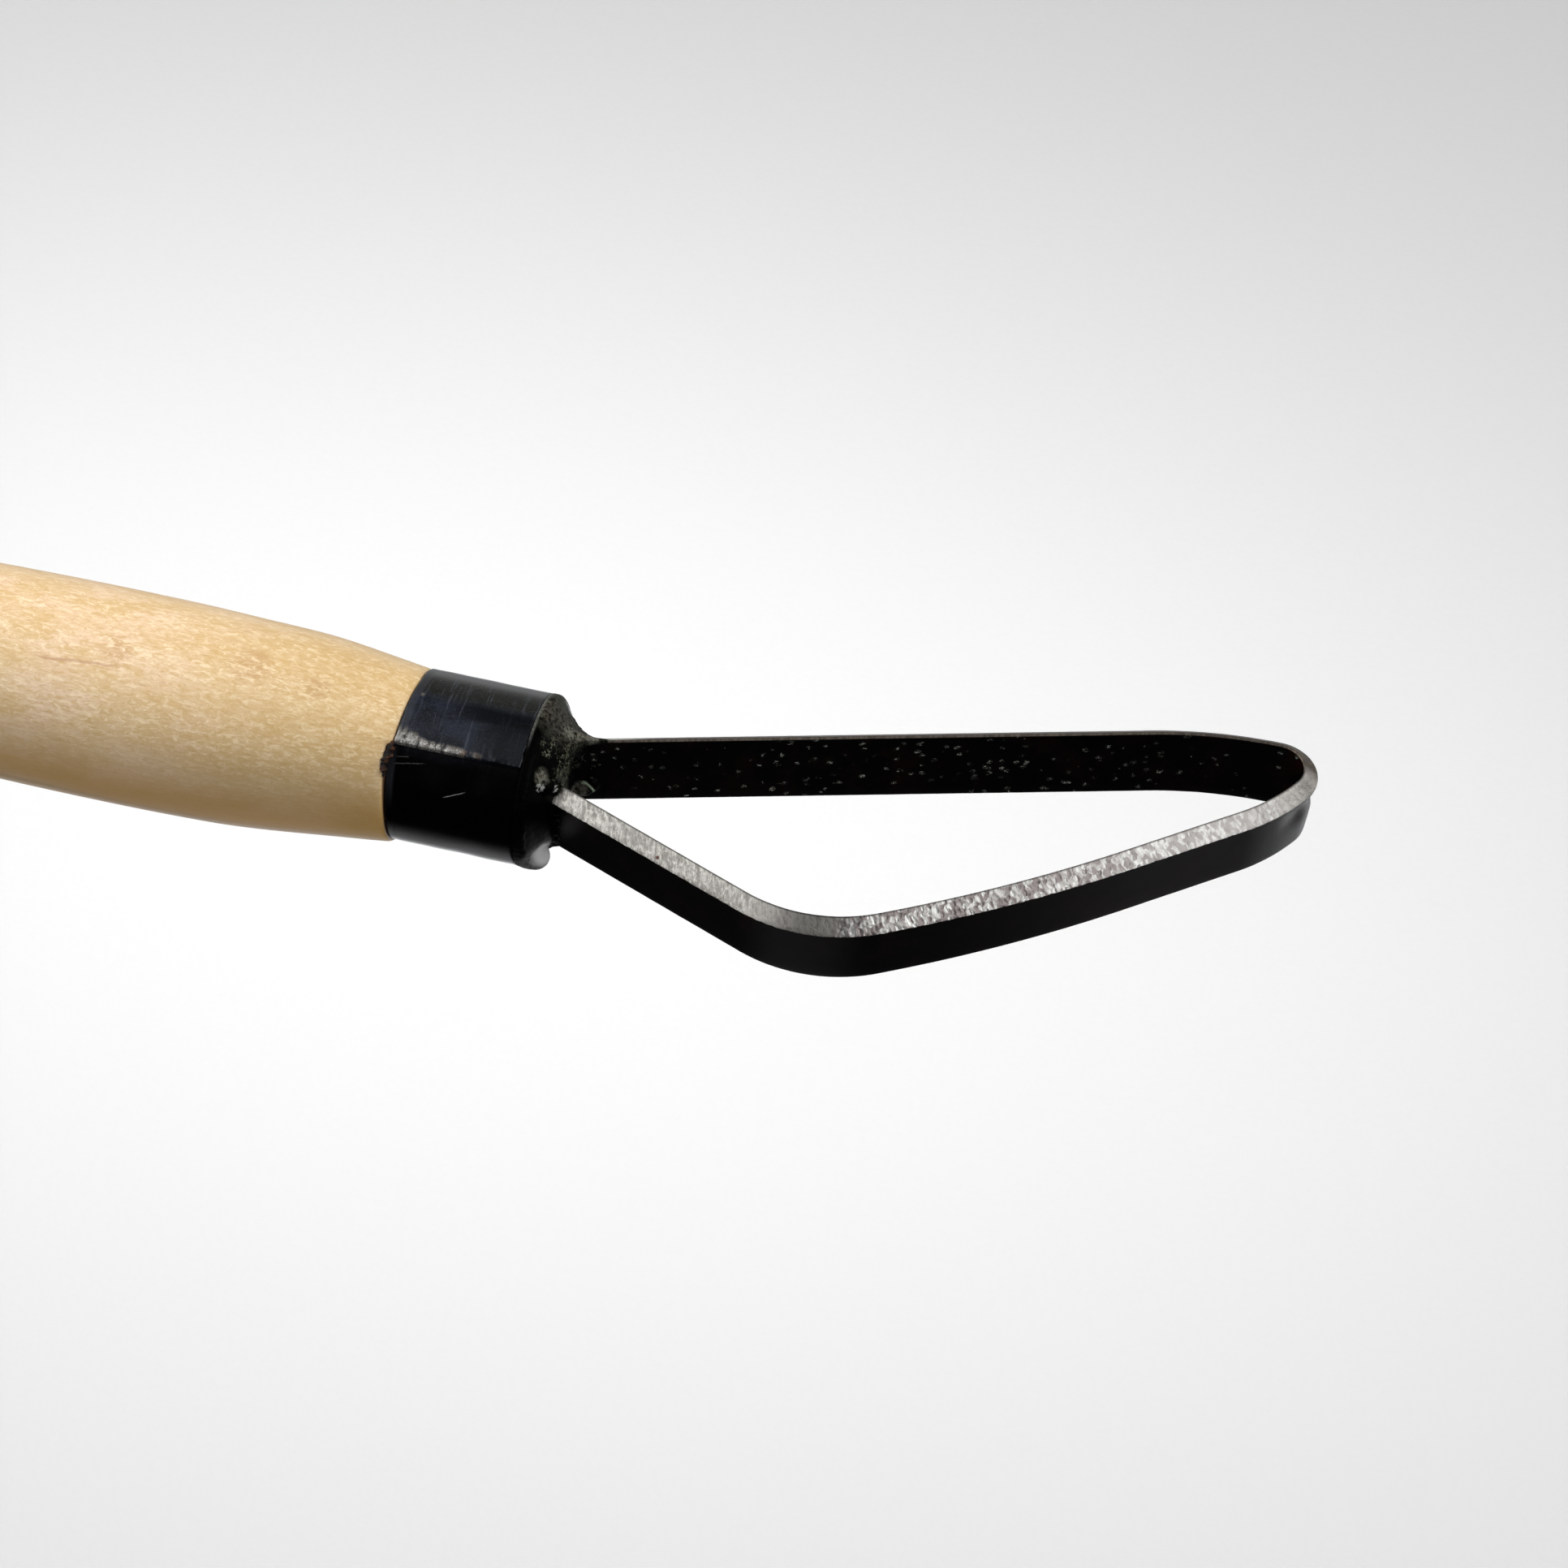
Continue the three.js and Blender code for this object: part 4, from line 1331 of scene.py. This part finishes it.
def grow(
    name: str,
    box: tuple[Sequence[float], Sequence[float]],
    voxel: float,
    shape: Callable[[Graph, GrownTree], Field],
    material: Material,
) -> Piece:
    """Turns a distance into a mesh.

    Args:
        name: The piece's name.
        box: The corners that hold it, in millimetres, with x ahead of the cap's base.
        voxel: The size of the volume's cells.
        shape: Gives the distance in millimetres.
        material: The piece's material.

    Returns:
        The piece.
    """
    low = [(box[0][0] + CAP_BASE) * MM, box[0][1] * MM, box[0][2] * MM]
    high = [(box[1][0] + CAP_BASE) * MM, box[1][1] * MM, box[1][2] * MM]
    cells = [max(8, round((b - a) / MM / voxel)) for a, b in zip(low, high)]
    tree = GrownTree(
        name + "_volume",
        {
            "Lump height": 1.0,
            "Cells X": cells[0],
            "Cells Y": cells[1],
            "Cells Z": cells[2],
        },
    )
    g = tree.graph
    distance = shape(g, tree)
    density = (0.5 - distance / (4 * voxel)).most(0.0).least(1.0)
    volume = g.node(
        "GeometryNodeVolumeCube",
        None,
        {
            "Density": density,
            "Background": 0.0,
            "Min": low,
            "Max": high,
            "Resolution X": tree.socket("Cells X"),
            "Resolution Y": tree.socket("Cells Y"),
            "Resolution Z": tree.socket("Cells Z"),
        },
    )
    skin = g.node(
        "GeometryNodeVolumeToMesh",
        {"resolution_mode": "GRID"},
        {"Volume": volume.outputs[0], "Threshold": 0.5, "Adaptivity": 0.0},
    )
    tree.finish(skin.outputs[0], material)
    return tree.bake(name, mesh_object("seed", [(0, 0, 0)], []))


@dataclass
class WeldedCap:
    """The coned cap with its weld bead and the weld metal round the legs' roots, grown as volumes."""

    rear: float = -2.3
    corner: float = -1.35
    face: float = 0.9
    radius: float = 8.5
    spigot: tuple[float, float] = (6.5, 4.9)
    plate: tuple[float, float] = (8.2, 2.2)
    cone: tuple[float, float] = (0.826, 0.563)
    strip: StripSize = StripSize()
    roots: tuple[Root, ...] = (
        Root(
            "weld_collar_near",
            "weld_near_leg",
            StripSize.near_offset,
            StripSize.near_heading,
            1.7,
            ((0.05, -4.30, 4.75, 0.85), (0.60, -3.70, 4.10, 0.70), (0.45, -2.60, 3.50, 0.55)),
        ),
        Root(
            "weld_collar_far",
            "weld_far_leg",
            StripSize.far_offset,
            196.3,
            5.0,
            ((1.9, 2.35, -2.45, 1.0), (2.6, 2.75, -2.0, 0.95), (1.0, 2.1, 1.5, 0.8)),
        ),
    )

    def cap_distance(self, x: Field, r: Field) -> Field:
        """The distance outside the cap's round, coned front, in millimetres."""
        slope = (x - self.corner) * self.cone[0] + (r - self.radius) * self.cone[1]
        side = r - self.radius
        front = slope.graph.maths("SMOOTH_MAX", slope, x - self.face, 0.5)
        return slope.graph.maths("SMOOTH_MAX", side, front, 0.7)

    def leg_distance(self, x: Field, y: Field, z: Field, root: Root, inset: Any) -> Field:
        """The distance outside a leg's strip, in millimetres.

        Args:
            x: The place ahead of the cap's base.
            y: The place across.
            z: The place upwards.
            root: The leg.
            inset: How far the form stays under the strip's own surface, as a field or a number.

        Returns:
            The distance.
        """
        heading = math.radians(root.heading)
        out_x, out_y = math.sin(heading), -math.cos(heading)
        out = (x - 1.2) * out_x + (y - root.offset) * out_y + (self.strip.width / 2 - z) * self.strip.flare
        half = self.strip.thickness / 2
        side = abs(out - half) - half
        tall = abs(z) - self.strip.width / 2
        down = self.strip.width / 2 - z
        foot, drop = self.strip.foot, self.strip.bevel_drop
        bevel = (out * drop - down * foot) / math.hypot(foot, drop)
        return side.most(tall).most(bevel) + inset

    def build(self) -> list[Piece]:
        """Grows the cap, its bead and both collars."""
        weld = WeldFinish(Metal.WELD).material()
        lacquer = WeldFinish(Metal.CAP, pitting=0.03, shine=0.36).material()
        pieces = [self.cap(lacquer), self.bead(weld)]
        pieces += [self.collar(root, weld) for root in self.roots]
        return pieces

    def cap(self, material: Material) -> Piece:
        """The cap itself, with its spigot inside the ferrule."""

        def shape(g: Graph, tree: GrownTree) -> Field:
            """The cap's distance, sunk a little under the bead near its rim."""
            x, _, _, r, here = place_in_volume(g)
            rough = (g.noise(here, 1.1, 3.0) - 0.5) * 0.10 * tree.value("Lump height")
            front = self.cap_distance(x, r) + rough
            spigot = (r - self.spigot[0]).most(-self.spigot[1] - x)
            plate = (r - self.plate[0]).most(-self.plate[1] - x).most(front)
            return g.maths("SMOOTH_MIN", plate, spigot.most(front), 0.1)

        box = ((-5.3, -9.0, -9.0), (1.4, 9.0, 9.0))
        piece = grow("cap_cone", box, 0.15, shape, material)
        return finish_piece(piece, material, ["end_cap"], 180.0)

    def bead(self, material: Material) -> Piece:
        """The weld bead between the ferrule's edge and the cone, with its run low on the near side."""

        def shape(g: Graph, tree: GrownTree) -> Field:
            """The bead's distance."""
            x, y, z, r, here = place_in_volume(g)
            lift = tree.value("Lump height")
            coarse = (g.noise(here, 0.75, 2.0) - 0.5) * 0.16
            fine = (g.noise(here, 2.6, 3.0) - 0.5) * 0.12
            run = ((x + 0.65) ** 2.0 * 0.95 + (y + 6.0) ** 2.0 + (z + 4.0) ** 2.0).root() - 1.38
            rough = (coarse + fine) * lift
            ring = self.cap_distance(x, r) - rough - 0.03 + r.step(8.0, 7.75) * 0.30
            body = g.maths("SMOOTH_MIN", ring, run - fine * 0.5, 1.2)
            return body.most(-0.5 - self.cap_distance(x, r)).most(self.rear - x).most(5.0 - r)

        box = ((-2.5, -9.2, -9.2), (1.2, 9.2, 9.2))
        piece = grow("weld_bead", box, 0.13, shape, material)
        return finish_piece(piece, material, ["weld_cap_rim"], 180.0)

    def collar(self, root: Root, material: Material) -> Piece:
        """The weld metal that runs from the cap's cone up one leg.

        Args:
            root: The leg's root.
            material: The weld's material.

        Returns:
            The piece.
        """

        def shape(g: Graph, tree: GrownTree) -> Field:
            """The collar's distance: a soft join of cap and leg, with lumps."""
            x, y, z, r, here = place_in_volume(g)
            lift = tree.value("Lump height")
            film = x.step(root.top_weld, root.top_weld - 1.5) * z.step(3.5, 3.9)
            leg = self.leg_distance(x, y, z, root, 0.14 - film * 0.20)
            cap = self.cap_distance(x, r) + 0.10
            softness = 2.1 + z.step(1.5, 3.5) * (-1.4 if root.offset < 0 else 2.4)
            body = g.maths("SMOOTH_MIN", cap, leg, softness)
            for lump in root.lumps:
                body = g.maths("SMOOTH_MIN", body, ball_distance(x, y, z, lump), 0.55)
            near = x.step(3.6, 0.8)
            rough = (g.noise(here, 1.5, 3.0, 0.6) - 0.5) * 0.34 + (g.noise(here, 4.2, 2.0) - 0.5) * 0.12
            return (body - rough * near * lift).most(x - 4.6).most(-1.4 - x).most(r - 8.0)

        side = 1 if root.offset > 0 else -1
        y = sorted((side * 0.3, side * 7.9))
        piece = grow(root.name, ((-1.5, y[0], -7.0), (4.8, y[1], 7.0)), 0.11, shape, material)
        return finish_piece(piece, material, [root.node], 180.0)


@dataclass
class GlueCrust:
    """The burr of dried glue that has crept out where the sheet's rear edge steps at the seam."""

    drops: tuple[Spot, ...] = (
        (130.10, 124.0, 0.20),
        (130.00, 127.0, 0.26),
        (129.95, 130.0, 0.30),
        (129.86, 133.0, 0.34),
        (129.74, 136.0, 0.36),
        (129.62, 139.0, 0.30),
        (129.48, 141.0, 0.22),
        (129.84, 141.5, 0.28),
        (129.88, 145.0, 0.16),
        (130.55, 127.5, 0.17),
        (130.50, 131.5, 0.17),
        (130.95, 129.0, 0.12),
    )
    radius: float = 8.60

    def build(self) -> Piece:
        """Grows and dresses the burr."""
        material = PlainFinish(
            "dried_glue", rgb(0.006, 0.0035, 0.003), rgb(0.120, 0.040, 0.014), 0.0, 0.45, 1.5, 0.12, 0.62
        ).material()

        def shape(g: Graph, tree: GrownTree) -> Field:
            """The distance outside the joined drops."""
            x, y, z, _, here = place_in_volume(g)
            body = None
            for along, angle, size in self.drops:
                cy, cz = (self.radius * f(math.radians(angle)) for f in (math.cos, math.sin))
                away = ball_distance(x, y, z, (along - CAP_BASE, cy, cz, size))
                body = away if body is None else g.maths("SMOOTH_MIN", body, away, 0.45)
            rough = (g.noise(here, 2.4, 4.0, 0.75) - 0.5) * 0.80
            return body - rough * tree.value("Lump height")

        piece = grow("glue_crust", ((-16.8, -8.8, 3.4), (-14.6, -4.2, 7.9)), 0.07, shape, material)
        return finish_piece(piece, material, [], 180.0)


@dataclass
class Spatter:
    """Small beads of weld metal scattered round the far leg's root."""

    centre: Spot = (145.6, 1.6, 0.6)
    reach: float = 4.2
    crowd: float = 1.5e6
    size: float = 0.16
    seed: int = 4

    def build(self, host: Piece) -> Piece:
        """Scatters the beads over a host piece.

        Args:
            host: The piece that carries them.

        Returns:
            One piece with every bead.
        """
        material = WeldFinish(
            Metal.WELD, black=rgb(0.03, 0.03, 0.022), grey=rgb(0.12, 0.12, 0.095), green=rgb(0.05, 0.06, 0.03)
        ).material()
        tree = GrownTree(
            "weld_spatter_scatter",
            {
                "Host": host,
                "Crowd": self.crowd,
                "Bead size": self.size * MM,
                "Seed": self.seed,
            },
        )
        g = tree.graph
        seen = g.node("GeometryNodeObjectInfo", None, {"Object": tree.socket("Host")})
        place = g.node("GeometryNodeInputPosition").outputs[0]
        share = g.near(place, tuple(c * MM for c in self.centre), self.reach * MM)
        _, y, _ = g.parts(g.node("GeometryNodeInputNormal").outputs[0])
        facing = y.step(0.2, -0.3)
        points = g.node(
            "GeometryNodeDistributePointsOnFaces",
            {"distribute_method": "RANDOM"},
            {
                "Mesh": seen.outputs["Geometry"],
                "Density": share * facing * tree.value("Crowd"),
                "Seed": tree.socket("Seed"),
            },
        )
        bead = g.node("GeometryNodeMeshIcoSphere", None, {"Radius": tree.value("Bead size"), "Subdivisions": 2})
        spread = g.node(
            "FunctionNodeRandomValue", {"data_type": "FLOAT_VECTOR"}, {0: (0.4, 0.4, 0.25), 1: (1.3, 1.0, 0.7)}
        )
        grown = g.node(
            "GeometryNodeInstanceOnPoints",
            None,
            {
                "Points": points.outputs["Points"],
                "Instance": bead.outputs[0],
                "Rotation": points.outputs["Rotation"],
                "Scale": spread.outputs[0],
            },
        )
        tree.finish(grown.outputs[0], material)
        piece = tree.bake("weld_spatter", mesh_object("seed", [(0, 0, 0)], []))
        return finish_piece(piece, material, [], 180.0)


@dataclass
class Studio:
    """The camera at the photo's viewing angle, the pale floor and the soft light."""

    focal_pixels: float = 5500.0
    image_pixels: float = 1932.0
    sensor_width: float = 36.0
    floor_reach: float = 6000.0
    floor_depth: float = 230.0

    def camera(self) -> None:
        """Makes the camera, at the place that was fitted to the photo."""
        right = Vector((0.9699122788, 0.2421916996, 0.0247659462))
        down = Vector((0.2033581292, -0.7500379136, -0.6293557018))
        ahead = Vector((-0.1338493285, 0.6154561794, -0.7767226329))
        data = bpy.data.cameras.new("camera")
        data.sensor_width = self.sensor_width
        data.lens = self.focal_pixels * data.sensor_width / self.image_pixels
        data.clip_start, data.clip_end = 0.01, 20.0
        camera = bpy.data.objects.new("camera", data)
        spot = Vector((CAP_BASE + 78.8827, -260.2028, 335.6137)) * MM
        turn = Matrix((right, -down, -ahead)).transposed()
        camera.matrix_world = Matrix.Translation(spot) @ turn.to_4x4()
        bpy.context.scene.collection.objects.link(camera)
        bpy.context.scene.camera = camera

    def floor(self) -> None:
        """Makes the pale floor."""
        reach, depth = self.floor_reach, -self.floor_depth
        square = [(-reach, -reach, depth), (reach, -reach, depth), (reach, reach, depth), (-reach, reach, depth)]
        floor = mesh_object("floor", square, [(0, 1, 2, 3)])
        g = ShaderGraph("pale_paper")
        at = g.millimetres()
        grain = g.noise(at, 0.9, 4.0)
        material = g.surface(
            {
                "Base Color": g.mix(grain, rgb(0.482, 0.482, 0.479), rgb(0.498, 0.498, 0.495)),
                "Roughness": 0.9,
                "Normal": g.bump(grain, 0.05),
                "Specular IOR Level": 0.1,
            }
        )
        floor.data.materials.append(material)
        floor.visible_glossy = False

    def lamp(
        self, name: str, at: Sequence[float], towards: Sequence[float], size: tuple[float, float], power: float
    ) -> None:
        """Makes an oval soft light.

        Args:
            name: Its name.
            at: Its place, in millimetres.
            towards: The point that it faces.
            size: Its width and height in metres.
            power: Its power in watts.
        """
        data = bpy.data.lights.new(name, "AREA")
        data.shape = "ELLIPSE"
        data.size, data.size_y = size
        data.energy = power
        lamp = bpy.data.objects.new(name, data)
        lamp.visible_camera = False
        lamp.visible_glossy = False
        spot, aim = Vector(at) * MM, Vector(towards) * MM
        lamp.location = spot
        lamp.rotation_euler = (aim - spot).to_track_quat("-Z", "Y").to_euler()
        bpy.context.scene.collection.objects.link(lamp)

    def world(self) -> None:
        """Makes the surroundings: light overhead and behind, dark on the near side below."""
        world = bpy.data.worlds.new("studio")
        bpy.context.scene.world = world
        world.use_nodes = True
        g = Graph(world.node_tree)
        g.tree.nodes.clear()
        towards = g.node("ShaderNodeTexCoord").outputs["Generated"]
        x, y, z = g.parts(towards)
        overhead = z.step(0.82, 0.97) * 0.26
        sides = abs(x).step(0.28, 0.56) * z.step(0.15, 0.50) * y.step(0.15, -0.30) * y.step(-0.85, -0.62) * 1.75
        far_sides = abs(x).step(0.40, 0.80) * z.step(0.05, 0.35) * y.step(-0.30, 0.15) * 0.34
        low_back = y.step(0.55, 0.80) * z.step(-0.25, -0.50) * 0.62
        behind = y.step(0.05, 0.60) * (z.step(0.12, -0.25) * 0.66 + z.step(0.55, 0.25) * 0.10 + 0.05) - low_back
        below = z.step(-0.30, -0.75) * y.step(-0.62, -0.05) * abs(x + 0.08).step(0.30, 0.12) * 0.42
        right_low = x.step(0.25, 0.50) * y.step(-0.30, 0.45) * z.step(-0.45, -0.70) * 0.80
        light = overhead + sides + far_sides + behind + below + right_low + 0.006
        shade = g.node("ShaderNodeBackground", None, {"Color": rgb(0.97, 0.985, 1.0), "Strength": light})
        g.node("ShaderNodeOutputWorld", None, {"Surface": shade.outputs[0]})

    def build(self) -> None:
        """Makes all of it."""
        self.floor()
        self.world()
        self.lamp("left_softbox", (-380.0, 100.0, 480.0), (120.0, 0.0, 0.0), (0.42, 0.42), 4.2)
        self.lamp("right_softbox", (640.0, 210.0, 430.0), (120.0, 0.0, 0.0), (0.42, 0.42), 3.9)
        self.lamp("floor_wash", (70.0, 175.0, -28.0), (70.0, 175.0, -self.floor_depth), (0.40, 0.14), 0.52)
        settings = bpy.context.scene.view_settings
        settings.view_transform = "Standard"


def main() -> None:
    """Builds the scene: camera, studio, handle, ferrule, cap and loop."""
    logging.basicConfig(level=logging.INFO, format="%(name)s: %(message)s")
    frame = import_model()
    studio = Studio()
    studio.camera()
    studio.build()
    TurnedHandle().build()
    RolledFerrule().build()
    WeldedCap().build()
    ribbon = RibbonLoop().build()
    Spatter().build(ribbon)
    GlueCrust().build()
    tang = PlainFinish("tang_steel", rgb(0.36, 0.35, 0.34), rgb(0.22, 0.20, 0.18), 1.0, 0.45)
    frame["nodes"]["tang"].data.materials.clear()
    frame["nodes"]["tang"].data.materials.append(tang.material())


if __name__ == "__main__":
    main()
